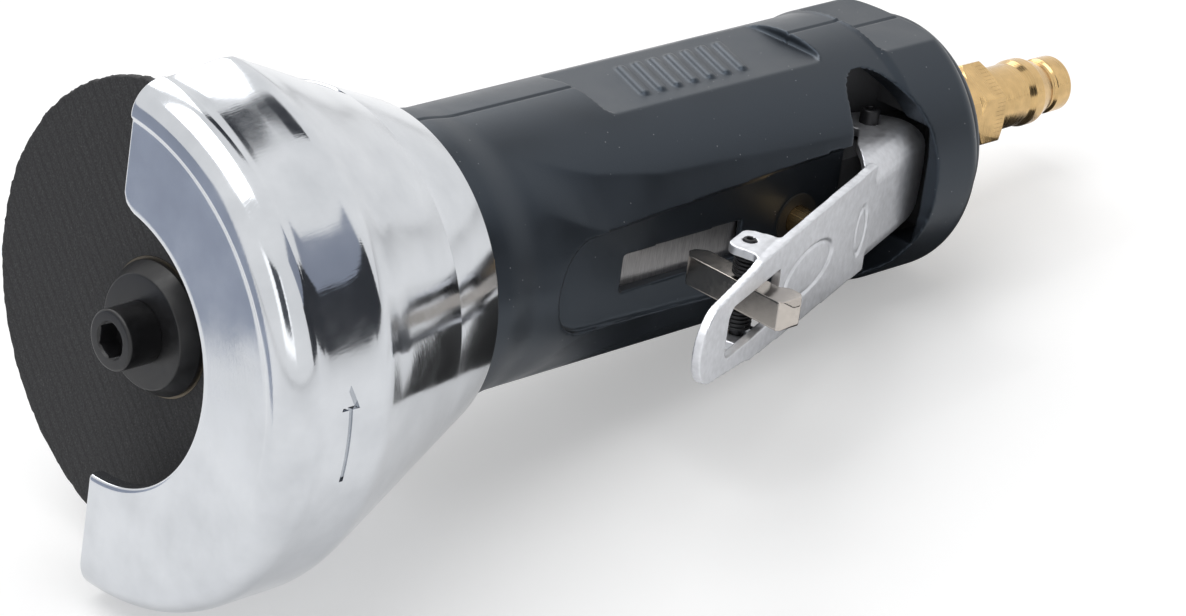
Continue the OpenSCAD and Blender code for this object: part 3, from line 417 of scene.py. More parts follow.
feltFinish = layered("pressedFelt", (0.62, 0.60, 0.54), 0.95, (1.0, 1.0, 1.0))
sealFinish = moulded("sealRubber", (0.02, 0.019, 0.018), 0.6, 0.0)
print("stage 2: finishes made")

# Guard: half bell with soft ends and a rounded upper corner of the lip. Its creases and swell fade downwards.
guardSizes = {
    "lipFront": -10.3, "lipBack": -7.7, "lipBore": 21.7, "boreEdge": 0.7, "lipCorner": 3.6, "roundMiddle": (36.4, -5.3),
    "round": 5.0, "innerRound": 2.4, "band": 41.4, "bandBack": 8.5, "shoulder": 39.8, "shoulderBack": 10.9,
    "coneFront": 14.0, "collarFront": 31.0, "collarBack": 43.5, "collar": 26.5, "sleeve": 19.85, "wall": 2.6,
    "coneWall": 2.81, "turn": 2.0, "endRound": 0.7, "endReach": 30, "crease": 0.42, "creaseEnd": 125,
    "swell": 1.1, "swellEnd": 105, "swellFrom": -5.0, "swellPeak": 7.5, "steps": 220, "grub": (36.75, 2.55),
}
bandLine = (
    (-4.8, 0.1, 0), (-4.4, 0.6, 0), (-2.8, 0.6, 0), (-1.0, 0.6, 0), (2.0, 0.4, 0), (4.0, 0.1, 0), (5.5, 0, 0.05),
    (6.5, 0, 0.16), (7.5, 0, 0.37), (8.5, 0, 0.68), (9.5, 0, 1.07), (10.9, 0, 1.68), (12.3, 0, 2.2211656),
)  # x, share of the crease, drop below the band
arrowSizes = {"x": 0.6, "from": 100.0, "to": 79.0, "half": 0.34, "head": 1.6, "headRun": 5.0, "low": 40.95,
              "high": 42.6}


def guardCone(x):
    g = guardSizes
    return g["collar"] + (g["shoulder"] - g["collar"]) * (g["collarBack"] - x) / (g["collarBack"] - g["shoulderBack"])


def guardSection(offTop):  # outer and inner points of the wall at so many degrees from the upper end
    g = guardSizes
    corner, bore = g["lipCorner"], g["lipBore"]
    d = math.radians(max(offTop, 0.0))
    reach = bore + corner
    if d < math.asin(corner / reach):  # rounding between the end and the bore
        middle = (-corner, math.sqrt(reach ** 2 - corner ** 2))
        along = -math.sin(d) * middle[0] + math.cos(d) * middle[1]
        square = along ** 2 - (middle[0] ** 2 + middle[1] ** 2 - corner ** 2)
        bore = along - math.sqrt(max(square, 0.0))
    fade = g["crease"] * max(0.0, 1 - (offTop / g["creaseEnd"]) ** 2)
    rm, xm = g["roundMiddle"]
    outer, inner = [], []
    for t in (0, 30, 60, 90):  # soft edge of the bore
        c, s = math.cos(math.radians(t)), math.sin(math.radians(t))
        outer.append((bore + g["boreEdge"] * (1 - c), g["lipFront"] + fade + g["boreEdge"] * (1 - s)))
        inner.append((bore + 0.02 * t / 90, g["lipBack"]))
    lip = [(r, 1.0) for r in np.linspace(bore + 1.5, rm - 1.6, 12)]
    for r, share in lip + [(rm - 1.0, 1.0), (rm - 0.7, 0.8), (rm - 0.4, 0.2)]:
        outer.append((r, g["lipFront"] + fade * share))
        inner.append((r, g["lipBack"]))
    bend = np.linspace(-90, 0, 19)
    outer += arc((rm, xm), g["round"], bend)
    inner += arc((rm, xm), g["innerRound"], bend)
    most = g["swell"] * max(0.0, 1 - (offTop / g["swellEnd"]) ** 2)

    def swell(x):
        rise = (x - g["swellFrom"]) / (g["swellPeak"] - g["swellFrom"])
        fall = (g["collarFront"] - x) / (g["collarFront"] - g["swellPeak"])
        return most * max(0.0, min(rise, fall))

    for x, share, drop in bandLine:
        r = g["band"] - fade * share - drop + swell(x)
        outer.append((r, x))
        inner.append((r - g["wall"] if x >= g["bandBack"] else g["band"] - g["wall"] + swell(x), x))
    for x in np.linspace(g["coneFront"], g["collarFront"], 13):
        r = guardCone(x) + swell(x)
        outer.append((r, x))
        inner.append((r - g["coneWall"], x))
    return np.array(outer), np.array(inner)


def guardBell():
    g = guardSizes
    e = g["endRound"]
    ends = [(0.0, e)] + [(e - a, e - b) for a, b in arc((0, 0), e, (18, 36, 54, 72, 90))]
    near = [("start", a, b) for a, b in ends]
    far = [("end", a, b) for a, b in reversed(ends)]
    angles = np.concatenate([np.linspace(2.2, 10, 26), np.linspace(11, 177.8, g["steps"])])
    rows = []
    for kind, run, inset in near + [("mid", a, 0.0) for a in angles] + far:
        off = 0.0 if kind == "start" else 180.0 if kind == "end" else run
        outer, inner = guardSection(math.degrees(run / g["endReach"]) if kind == "start" else off)
        thick = np.linalg.norm(inner - outer, axis=1, keepdims=True)
        toInner = (inner - outer) / np.maximum(thick, 1e-6)
        shift = np.minimum(inset, thick * 0.45)
        outer, inner = outer + toInner * shift, inner - toInner * shift
        loop = np.concatenate([outer, inner[::-1]])
        points = onAxis(loop[:, 0], loop[:, 1], g["turn"] + off)
        if kind != "mid":  # a straight step in from the flat end
            t = math.radians(g["turn"] + off)
            sign = 1 if kind == "start" else -1
            points = points + sign * run * np.array([0, -math.cos(t), -math.sin(t)])
        rows.append(points)
    cols = len(rows[0])
    piece = newMesh("guardBell", np.concatenate(rows), gridFaces(len(rows), cols, False, True))
    half = cols // 2
    work = bmesh.new()
    work.from_mesh(piece.data)
    work.verts.ensure_lookup_table()
    for base in (0, (len(rows) - 1) * cols):
        for k in range(half - 1):
            work.faces.new([work.verts[base + i] for i in (k, k + 1, cols - 2 - k, cols - 1 - k)])
    bmesh.ops.recalc_face_normals(work, faces=work.faces)
    work.to_mesh(piece.data)
    work.free()
    return piece


def guardCollar():
    g = guardSizes
    rows = []
    for turn in np.arange(0, 360, 1.5):
        edge = 0.8 if 183 < (turn - g["turn"]) % 360 < 357 else 0.02  # the free front edge is soft
        front, back = g["collarFront"], g["collarBack"]
        outline = rounded([(g["sleeve"], front, 0.4), (guardCone(front), front, edge), (g["collar"], back, 0.9),
                           (g["sleeve"], back, 0.3)], 6)
        rows.append(onAxis(*np.array(outline).T, turn))
    faces = gridFaces(len(rows), len(rows[0]), True, True)
    x, r = g["grub"]
    hole = prism("grubHole", circle((x, 0), r), 15, 40, planXZ)
    return carve(weld(newMesh("guardCollar", np.concatenate(rows), faces)), hole)


def guardArrow():  # a plain engraved arrow that shows the way the disc turns
    m = arrowSizes
    neck = m["to"] + m["headRun"]
    stations = [(turn, m["half"]) for turn in np.linspace(m["from"], neck, 24)]
    stations += [(neck + 0.01, m["head"]), (m["to"], 0.05)]
    corners = ((m["low"], -1), (m["low"], 1), (m["high"], 1), (m["high"], -1))
    points = [onAxis(r, m["x"] + side * half, turn) for turn, half in stations for r, side in corners]
    faces = gridFaces(len(stations), 4, False, True) + [(3, 2, 1, 0), tuple(len(points) - 4 + k for k in range(4))]
    piece = weld(newMesh("arrowCut", points, faces))
    piece.data.flip_normals()  # the thin head turns them inwards
    return piece


bell = carve(guardBell(), guardArrow())
guard = settle(joined("guardShell", bell, guardCollar()), "guard", "guard", guardFinish, "guard", sharp=32)
print("stage 3: guard,", len(guard.data.polygons), "faces")

# Disc: bonded grit with the net showing through, a worn ragged edge and its seat for the metal ring.
discSizes = {
    "outer": 37.5, "thick": 1.6, "hole": 5.05, "seat": 10.75, "seatDeep": 0.3, "skin": 0.05, "steps": 360,
    "rings": (66, 24), "netPitch": 2.3, "netTurn": 38.0, "netDeep": 0.05, "warp": 0.4, "grit": 0.012,
    "ragged": 0.28, "wornBand": 2.0,
}


def discFace(y, z, seed):  # height of the net and the grit at a place on the disc
    d = discSizes
    a = math.radians(d["netTurn"])
    runs = (y * math.cos(a) + z * math.sin(a), -y * math.sin(a) + z * math.cos(a))
    warp, weft = (np.maximum(np.cos(2 * math.pi * run / d["netPitch"]), 0) ** 6 for run in runs)
    return d["netDeep"] * (d["warp"] * warp + weft - 0.5) + seed.normal(0, d["grit"], np.shape(y))


def cuttingDisc():
    d = discSizes
    seed = np.random.default_rng(4)
    turns = np.arange(d["steps"]) * 360 / d["steps"]
    worn = np.zeros(d["steps"])
    for k in range(9, 90, 4):
        worn += seed.normal(0, 1) * np.cos(np.radians(turns) * k + seed.uniform(0, 6.28)) / 6
    worn = np.clip(worn, -1, 1)
    out, skin = d["outer"], d["skin"]
    outerEdge = out - d["ragged"] * (0.5 + 0.45 * worn) - np.abs(seed.normal(0, 0.06, d["steps"]))
    rows = []
    hole, seat, deep = d["hole"], d["seat"], d["seatDeep"]
    outline = [(hole, d["thick"]), (hole, deep), (seat - 0.05, deep), (seat, skin)]
    outline += [(r, skin) for r in np.linspace(seat + 0.5, out - 0.35, d["rings"][0])]
    outline += [(out - 0.1, 0.22), (out, 0.5), (out, 1.1), (out - 0.1, 1.42)]
    outline += [(r, d["thick"] - skin) for r in np.linspace(out - 0.35, hole + 6, d["rings"][1])]
    for i, (r, x) in enumerate(outline):
        edge = np.clip((r - out) / d["wornBand"] + 1, 0, 1)
        p = onAxis(r - edge * (out - outerEdge), x, turns)
        if x == skin and r > seat + 0.2:
            p[:, 0] = np.maximum(p[:, 0] - discFace(p[:, 1], p[:, 2], seed), 0.0)
        elif abs(x - d["thick"] + skin) < 1e-6:
            p[:, 0] = np.minimum(p[:, 0] + discFace(p[:, 1], p[:, 2], seed), d["thick"])
        elif i > 4:
            p[:, 0] += seed.normal(0, 0.035, d["steps"])
            p += (seed.normal(0, 0.05, d["steps"]) - 0.05)[:, None] * onAxis(1.0, 0.0, turns)
        rows.append(p)
    faces = [f[::-1] for f in gridFaces(len(rows), d["steps"], True, True)]
    return newMesh("cuttingWheel", np.concatenate(rows), faces)


disc = weld(cuttingDisc())
settle(disc, "spindle", "disc", discFinish, "cutting_disc", sharp=60)
print("stage 4: disc,", len(disc.data.polygons), "faces")

# Flange and screw in front of the disc.
flangeSizes = {"face": 8.7, "rim": 10.3, "thick": 3.2, "rimHigh": 0.7, "hole": 3.05, "edge": 0.35}
screwSizes = {"head": 4.7, "front": -9.1, "back": -3.2, "edge": 0.55, "shank": 3.0, "end": 10.8, "socket": 5.0,
              "deep": 3.4, "lead": 0.35}


def outerFlange():
    f = flangeSizes
    outline = [(f["hole"], 0, 0.1), (f["hole"], -f["thick"], 0.25), (f["face"], -f["thick"], f["edge"]),
               (f["rim"], -f["rimHigh"], 0.25), (f["rim"], 0, 0.12)]
    return lathe("outerFlange", rounded(outline))


def discScrew():
    s = screwSizes
    front, lead = s["front"], s["lead"]
    outline = [(0, front), (s["head"], front, s["edge"]), (s["head"], s["back"], 0.15), (s["shank"], s["back"], 0.1),
               (s["shank"], s["end"], 0.5), (0, s["end"])]
    piece = lathe("discScrew", rounded(outline, 6))
    r = s["socket"] / 2 / math.cos(math.radians(30))
    six = [(u, v, 0.35) for u, v in arc((0, 0), r, range(30, 390, 60))]
    carve(piece, prism("socketCut", rounded(six, 3), front - 1, front + s["deep"], alongAxis))
    funnel = [(0, front - 0.3), (r + lead, front - 0.3), (r - 0.2, front + lead), (0, front + lead)]
    return carve(piece, lathe("socketLead", funnel))


settle(outerFlange(), "spindle", "black_oxide", oxideFinish, "outer_flange")
settle(discScrew(), "spindle", "black_oxide", oxideFinish, "disc_screw")

# Grip: moulded sleeve with a flare, flats, a side facet, a parting line, the lever's pocket and the rear ring.
gripSizes = {
    "front": 43.8, "back": 157.6, "body": 22.6, "flare": 23.4, "flareStart": 48.5, "flareEnd": 56.0, "softFront": 45.2,
    "frontRound": 1.2, "ring": 23.0, "ringFront": 143.0, "ringStep": 1.5, "ringRound": 3.0, "bore": 18.3,
    "facetHalf": 12.0, "panel": (81, 130, 20.9, 9.2, 3.2), "pad": (142.6, 190, 20.6, 10.6, 2.4),
    "pocket": (60.3, 131, 20.2, 18.8, 8.0, 10.8), "slots": (126.0, 152.2, 10.5), "roof": 20.0,
    "window": (76, 103, -3.6, 2.8), "valve": (116, 3.0), "seam": (0.22, 0.34, 19.6),
    "ribs": (7, 3.7, 105.5, 5.2, 0.75, 22.0, 0.55), "voxel": 0.28,
}
archLine = (
    (127.2, 10.6), (128.3, 13.1), (129.2, 15.8), (130.2, 17.5), (131.6, 18.7), (133.2, 19.3), (135.0, 19.5),
    (137.0, 19.2), (139.0, 18.4), (141.4, 16.6), (143.7, 13.8), (145.2, 10.0), (146.0, 5.0),
)  # x, height of the opening's edge
facetLine = (
    (58, 30, 0.0), (61, 33.4, 0.25), (66.6, 41, 0.8), (71.5, 45.5, 1.0), (84.6, 52.2, 1.0), (99.2, 53.8, 1.0),
    (112.9, 55.9, 1.0), (128.3, 57.5, 1.0), (140, 58.5, 0.8), (142, 58.5, 0.0),
)  # x, upper edge, depth


def gripRadius(x, turn):
    g = gripSizes
    size = g["ringRound"]
    if x < g["flareEnd"]:
        share = min(1, max(0, (x - g["flareStart"]) / (g["flareEnd"] - g["flareStart"])))
        r = g["flare"] + (g["body"] - g["flare"]) * share * share * (3 - 2 * share)
        if x < g["softFront"]:  # rounded front edge
            r -= g["frontRound"] - math.sqrt(max(0, g["frontRound"] ** 2 - (g["softFront"] - x) ** 2))
    elif x > g["back"] - size:
        r = g["ring"] - size + math.sqrt(max(0, size ** 2 - (x - g["back"] + size) ** 2))
    elif x > g["ringFront"] - g["ringStep"]:
        r = g["body"] + (g["ring"] - g["body"]) * min(1, (x - g["ringFront"] + g["ringStep"]) / g["ringStep"])
    else:
        r = g["body"]
    places, edges, depths = np.array(facetLine).T
    edge, depth = np.interp(x, places, edges), np.interp(x, places, depths)
    half = g["facetHalf"]
    folded = np.where(np.sin(np.radians(turn)) > 0, np.minimum(turn, 180 - turn), 0)  # same above and below, lever side
    off = np.abs(folded - edge - half)
    flat = r * math.cos(math.radians(half)) / np.cos(np.radians(np.minimum(off, half)))
    return r - depth * (r - np.minimum(r, flat))


def gripShell():
    g = gripSizes
    turns = np.arange(0, 360, 1.0)
    rearRound = g["back"] - g["ringRound"] * (1 - np.sin(np.radians(np.linspace(10, 90, 9))))
    places = np.concatenate([[g["front"], 43.95, 44.15, 44.4, 44.8, 45.2], np.linspace(46, 141, 96),
                             [141.5, 142.2, 143, 144], np.linspace(145, 154.6, 10), rearRound])
    rows = [onAxis(gripRadius(x, turns), x, turns) for x in places]
    rows = [onAxis(g["bore"], g["front"], turns)] + rows + [onAxis(g["bore"], g["back"], turns)]
    return weld(newMesh("gripShell", np.concatenate(rows), gridFaces(len(rows), len(turns), True, True)))


def gripCuts():
    g = gripSizes
    away, inside = -40, -5  # well outside the grip, and within its bore
    x0, x1, floor, rearFloor, narrow, wide = g["pocket"]
    nose = arc((x0 + narrow, 0), narrow, np.linspace(90, 270, 25))
    pocket = prism("pocketCut", nose + [(x1 + 1, -wide), (x1 + 1, wide)], away, inside, planXZ)
    fall = [(x0 - 2, away - 2), (x1 + 2, away - 2), (x1 + 2, -rearFloor), (x0 + narrow, -floor), (x0 - 2, -floor)]
    yield carve(pocket, prism("pocketFloor", fall, -20, 20, asDrawn), "INTERSECT")
    a0, a1 = archLine[0][0], archLine[-1][0]
    arch = [(x, -z) for x, z in archLine] + [(x, z) for x, z in reversed(archLine)]
    yield prism("archCut", arch, away, 0, planXZ)
    s0, s1, sHalf = g["slots"]
    yield prism("slotCut", roundedBox(s0, a0 + 2, -sHalf, sHalf, 0.3), away, -8, planXZ)
    yield prism("roofCut", roundedBox(a1 - 2, s1, -sHalf, sHalf, 0.3), -g["roof"], 0, planXZ)
    yield prism("windowCut", roundedBox(*g["window"], 0.6), away, inside, planXZ)
    vx, vr = g["valve"]
    yield prism("valveCut", circle((vx, 0), vr), away, inside, planXZ)
    p0, p1, rise, half, size = g["panel"]
    for side in (1, -1):
        yield prism("panelCut", roundedBox(p0, p1, -half, half, size), side * rise, -side * away, asDrawn)
    p0, p1, rise, half, size = g["pad"]
    yield prism("padCut", roundedBox(p0, p1, -half, half, size), rise, -away, asDrawn)


def gripRibs():  # plain raised ribs on the top panel
    count, pitch, middle, half, wide, slant, high = gripSizes["ribs"]
    panel = gripSizes["panel"][2]
    lean = half * math.tan(math.radians(slant))
    for k in range(count):
        x = middle + (k - (count - 1) / 2) * pitch
        line = [(x - wide - lean, -half, 0.7), (x + wide - lean, -half, 0.7), (x + wide + lean, half, 0.7),
                (x - wide + lean, half, 0.7)]
        yield prism("rib", rounded(line), panel - 1, panel + high, asDrawn)


def pressSeam(piece):  # the parting line along the top and the underside
    wide, deep, outside = gripSizes["seam"]
    points = readPoints(piece)
    x, y, z = points.T
    panel = (x > gripSizes["panel"][0] + 0.4) & (x < gripSizes["panel"][1] - 0.4)
    points[:, 2] -= np.sign(z) * deep * np.exp(-(y / wide) ** 2) * ((np.abs(z) > outside) & ~panel)
    return writePoints(piece, points)


grip = gripShell()
for tool in gripCuts():
    carve(grip, tool)
print("stage 5: grip carved,", len(grip.data.polygons), "faces")
for rib in gripRibs():
    carve(grip, rib, "UNION")
soften(grip, gripSizes["voxel"])
pressSeam(grip)
settle(grip, "housing", "grip", gripFinish, "grip", sharp=70)
print("stage 5: grip skinned,", len(grip.data.polygons), "faces")

# Lever: bent plated sheet with a rear channel, ears for the lock, a slot and two stamped ovals.
leverSizes = {
    "pivot": (139.0, -12.3), "angle": 20.3, "rise": 8.0, "thick": 1.5, "reach": 82.4, "cheek": 9.8, "cheekEye": 4.2,
    "cheekSpan": (-9.5, 18.5), "arm": 8.6, "tip": 6.4, "bends": (4.4, 2.6), "tail": (9.2, 13.5), "pinHole": 1.65,
    "slot": (53.0, 72.6, 4.3, 2.2), "ear": (51.4, 59.8), "earFoot": 1.4, "earDrop": 2.4, "lockPin": (55.6, 3.1),
    "lockHole": 1.15, "voxel": 0.2, "ovals": ((18.8, -1.0, 2.1, 4.0, 0.22), (40.8, -0.2, 9.4, 3.8, 0.30)),
    "ovalLine": 0.26, "ovalDish": 0.04, "curl": (-2.0, 7.5, 0.5),
}
cheekLine = ((10.5, -4.2), (17.0, 0), (18.5, 0.6), (18.5, 2.5), (-9.5, 2.5), (-9.5, 0.4),
             (-6.1, 0))  # along, over the plate's inner face
armLine = ((15.0, 9.4), (18.0, 9.4), (20.5, 9.2), (30.0, 9.05), (47.4, 8.7), (61.2, 8.3), (63.3, 7.7),
           (70.8, 6.9))  # along, half width


def onLever(a, n, z):  # along the lever to its tip, out of its outer face, up
    x, y = leverSizes["pivot"]
    t = math.radians(leverSizes["angle"])
    return (x - a * math.cos(t) + n * math.sin(t), y - a * math.sin(t) - n * math.cos(t), z)


def channel(name, halfWide, start, end, side, bend):  # folded sheet between two stations, cut to a side view
    t, top, low = leverSizes["thick"], leverSizes["rise"], -9
    inner = halfWide - t
    section = [(-halfWide, low, 0), (-halfWide, top, bend), (halfWide, top, bend), (halfWide, low, 0), (inner, low, 0),
               (inner, top - t, bend - t), (-inner, top - t, bend - t), (-inner, low, 0)]
    piece = prism(name, rounded(section, 6), start, end, lambda u, v, w: (w, v, u))
    return carve(piece, prism("sideView", side, -20, 20, asDrawn), "INTERSECT")


def throttleLever():  # drawn along its own faces, so that its skin lies square to them, and then turned into place
    v = leverSizes
    inner = v["rise"] - v["thick"]
    above = v["rise"] + 1
    cheekSide = arc((0, 0), v["cheekEye"], range(180, 361, 12)) + [(a, inner + n) for a, n in cheekLine]
    rear = channel("leverRear", v["cheek"], *v["cheekSpan"], cheekSide, v["bends"][0])
    tail, bow = v["tail"]
    swing = math.degrees(math.asin(v["cheek"] / bow))
    plan = arc((bow - tail, 0), bow, 180 - np.linspace(-swing, swing, 25))
    plan += [(19, v["cheek"] + 0.1), (19, -v["cheek"] - 0.1)]
    carve(rear, prism("rearPlan", plan, -12, 12, planXZ), "INTERSECT")
    pinA, pinN = v["lockPin"]
    e0, e1 = v["ear"]
    f0, f1, low = e0 - v["earFoot"], e1 + v["earFoot"], pinN - v["earDrop"]
    earSide = rounded([(e0 + 0.5, low, 1.8), (e1 - 0.5, low, 1.8), (e1, inner - 0.6, 0.6), (f1, inner + 0.6, 0.6),
                       (f1, above), (f0, above), (f0, inner + 0.6, 0.6), (e0, inner - 0.6, 0.6)])
    ears = channel("leverEars", v["arm"], f0, f1, earSide, v["bends"][1])
    tip = arc((v["reach"] - v["tip"], 0), v["tip"], range(-90, 91, 6))
    outline = [(a, -h) for a, h in armLine] + tip + [(a, h) for a, h in reversed(armLine)]
    arm = prism("leverArm", outline, inner, v["rise"], planXZ)
    carve(arm, rear, "UNION")
    carve(arm, ears, "UNION")
    s0, s1, half, size = v["slot"]
    slot = rounded([(s0, -half, 0.6), (s1, -half, size), (s1, half, size), (s0, half, 0.6)], 8)
    carve(arm, prism("slotCut", slot, 4, 12, planXZ))
    carve(arm, prism("pivotHole", circle((0, 0), v["pinHole"]), -15, 15, asDrawn))
    carve(arm, prism("lockHole", circle((pinA, pinN), v["lockHole"]), -15, 15, asDrawn))
    stamp(soften(arm, v["voxel"]))
    origin, along, outward = (Vector(onLever(*p)) for p in ((0, 0, 0), (1, 0, 0), (0, 1, 0)))
    turn = Matrix((along - origin, outward - origin, (0, 0, 1))).transposed().to_4x4()
    arm.data.transform(Matrix.Translation(origin) @ turn)
    return arm


def easedStep(value, rate):  # 0 below nought, 1 above it
    return 1 / (1 + np.exp(np.clip(-value * rate, -40, 40)))


def stamp(piece):  # presses the ovals' outlines into the outer face and lets the tail curl in
    v = leverSizes
    points = readPoints(piece)
    a, n, z = points.T
    press = np.zeros(len(points))
    for ma, mz, ra, rz, deep in v["ovals"]:
        reach = np.hypot((a - ma) / ra, (z - mz) / rz)
        press += deep * np.exp(-((reach - 1) * min(ra, rz) / v["ovalLine"]) ** 2)
        press += v["ovalDish"] * easedStep(0.97 - reach, 30)
    press *= easedStep(n - v["rise"] + 0.5, 12)
    start, run, drop = v["curl"]
    tail = np.clip((start - a) / run, 0, 1) ** 2 * drop * (n > 4)
    points[:, 1] -= press + tail
    writePoints(piece, points)


lever = throttleLever()
lever.name = "throttleLever"
settle(lever, "lever", "lever", leverFinish, "throttle_lever", sharp=70)
print("stage 6: lever,", len(lever.data.polygons), "faces")

# Lock: thick bar on its pin, with a finger and a thumb head that has clipped corners.
lockSizes = {"pin": (87.93, -34.50), "half": 2.2, "wide": 2.4, "finger": 11.4, "fingerCut": 1.5, "thumb": 10.8,
             "head": 5.4, "past": 1.2, "headCut": 1.8, "clip": 0.9, "hole": 1.15, "voxel": 0.12}


def lockCatch():
    k = lockSizes
    x, y = k["pin"]
    h, end, past, cut, tip = k["half"], -k["thumb"], k["half"] + k["past"], k["fingerCut"], k["finger"]
    onPin = lambda u, v, w: (x + u, y + v, w)
    line = [(-h, tip - cut, 0.5), (cut - h, tip, 0.5), (h - cut, tip, 1.0), (h, tip - cut, 1.0),
            (h, end + k["head"], 0.5), (past, end + k["head"] - k["past"], 0.9), (past, end + k["headCut"], 0.9),
            (past - k["headCut"], end, 0.9), (0, end, 0.6), (-h, end + k["past"], 0.4)]
    piece = prism("lockBar", rounded(line, 6), -k["wide"], k["wide"], onPin)
    c, w = k["clip"], k["wide"]
    ends = [(end, c - w), (end + c, -w), (tip, -w), (tip, w), (end + c, w), (end, w - c)]
    carve(piece, prism("thumbCorners", ends, -9, 9, lambda v, w, u: onPin(u, v, w)), "INTERSECT")
    carve(piece, prism("pinHole", circle((0, 0), k["hole"]), -9, 9, onPin))
    return soften(piece, k["voxel"])


lock = lockCatch()
lock.name = "lockCatch"
settle(lock, "lock", "lock", lockFinish, "lock_catch", sharp=70)
print("stage 7: lock,", len(lock.data.polygons), "faces")


# Wound springs: one smooth wire each.
def wire(name, path, r, sides=10):
    path = np.array(path, float)
    way = np.gradient(path, axis=0)
    way /= np.linalg.norm(way, axis=1, keepdims=True)
    side = np.cross(way[0], (0.3, 0.5, 0.8))
    ring = arc((0, 0), r, np.arange(sides) * 360 / sides)
    rows = []
    for p, w in zip(path, way):
        side = side - (side @ w) * w
        side /= np.linalg.norm(side)
        rise = np.cross(w, side)
        rows.append([p + u * side + v * rise for u, v in ring])
    faces = gridFaces(len(rows), sides, False, True)
    faces += [tuple(range(sides))[::-1], tuple((len(rows) - 1) * sides + k for k in range(sides))]
    return weld(newMesh(name, np.concatenate(rows), faces))


lockSpringSizes = {"coil": 1.85, "wire": 0.28, "curls": 5.0, "pitch": 0.68, "start": 2.85, "leg": 3.4, "stop": 2.4}
valveSpringSizes = {"x": 116.0, "start": 0.35, "end": 10.55, "coil": 3.0, "wire": 0.45, "curls": 5.0, "keep": 0.58}


def lockSpring():  # one leg along the bar, the other against the lever's plate
    s = lockSpringSizes
    x, y = lockSizes["pin"]
    c = s["coil"]
    parts = []
    for side in (1, -1):
        path = [(x + c, y + s["leg"] * (1 - k / 8), side * s["start"]) for k in range(8)]
        for t in np.linspace(0, s["curls"], int(s["curls"] * 28)):
            turn = 2 * math.pi * t
            path.append((x + c * math.cos(turn), y - c * math.sin(turn), side * (s["start"] + s["pitch"] * t)))
        last = path[-1]
        path += [(last[0], last[1] - s["stop"] * k / 5, last[2]) for k in range(1, 6)]
        parts.append(wire("springSide", path, s["wire"]))
    return joined("lockSpring", *parts)


def valveSpring():
    s = valveSpringSizes
    turns = np.linspace(0, s["curls"] + 1.6, 240)
    rise = np.clip((turns - 0.8) / s["curls"], 0, 1) * (s["end"] - s["start"])
    path = [(u, s["start"] + h, v) for (u, v), h in zip(arc((s["x"], 0), s["coil"], turns * 360), rise)]
    return wire("valveSpring", path, s["wire"], 12)


settle(lockSpring(), "lever", "black_oxide", pinFinish, "lock_spring", sharp=60)
pressed = settle(valveSpring(), "housing", "steel", steelFinish, "valve_spring", sharp=60)
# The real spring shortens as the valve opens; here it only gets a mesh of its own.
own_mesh(pressed)


# Rolled pins: slit tubes of spring steel.
def rolledPin(name, middle, length, outer, bore, slit):
    end = length / 2
    turns = np.linspace(slit / 2, 360 - slit / 2, 48)
    outline = rounded([(bore, -end, 0.1), (outer, -end, 0.3), (outer, end, 0.3), (bore, end, 0.1)], 3)
    rows = [[(*arc(middle, r, (t,))[0], z) for r, z in outline] for t in turns]
    cols = len(outline)
    faces = gridFaces(len(rows), cols, False, True)
    faces += [tuple(range(cols)), tuple((len(rows) - 1) * cols + k for k in range(cols))[::-1]]
    return weld(newMesh(name, np.concatenate(rows), faces))


pinSizes = {"pivot": (24.4, 1.6, 0.85, 32), "lock": (17.8, 1.1, 0.55, 30)}
pivotPin = rolledPin("leverPin", leverSizes["pivot"], *pinSizes["pivot"])
lockPin = rolledPin("lockPin", lockSizes["pin"], *pinSizes["lock"])
settle(pivotPin, "housing", "black_oxide", pinFinish, "lever_pin")
settle(lockPin, "lever", "black_oxide", pinFinish, "lock_pin")
print("stage 8: springs and pins")

# Air plug of turned brass, and the bush it screws into.
plugSizes = {
    "thread": (165.1, 5.0), "hex": (175.3, 181.8, 14.0, 1.5, 0.8), "core": 5.2, "body": (5.6, 190.8),
    "collar": (5.9, 194.4), "groove": (4.5, 198.1), "tip": (4.9, 203.0, 1.0), "bore": 3.3, "hexBore": (3.7, 170, 190),
    "ticks": (9, 0.78, 0.16, 0.14, 2.4),
}
bushSizes = {"thread": (143.5, 7.0), "hex": (161.6, 175.3, 14.6, 0.8, 1.1), "bore": 5.05, "inner": 3.7, "seat": 164.3}


def hexBar(name, x0, x1, across, front, rear):
    flat, r = across / 2, across / 2 / math.cos(math.radians(30))
    six = [(v, u, 0.12) for u, v in arc((0, 0), r, range(0, 360, 60))]
    face, rim = flat - 0.1, r + 0.05
    cone = [(0, x0), (face, x0, 0.1), (rim, x0 + front), (rim, x1 - rear), (face, x1, 0.1), (0, x1)]
    turned = lathe("hexChamfer", rounded(cone, 2), 180)
    return carve(prism(name, rounded(six, 2), x0, x1, alongAxis), turned, "INTERSECT")


def hexTicks():  # broach marks across the flats of the hexagon, at its rear end
    p = plugSizes
    count, pitch, half, deep, run = p["ticks"]
    flat, x1 = p["hex"][2] / 2, p["hex"][1]
    marks = []
    for face in range(6):
        a = math.radians(60 * face + 30)
        turn = lambda u, v, w: (w, v * math.sin(a) + u * math.cos(a), v * math.cos(a) - u * math.sin(a))
        for k in range(count):
            u = (k - (count - 1) / 2) * pitch
            notch = [(u - half, flat + 1), (u + half, flat + 1), (u, flat - deep)]
            marks.append(prism("tick", notch, x1 - run, x1 - 0.4, turn))
    return joined("hexTicks", *marks)


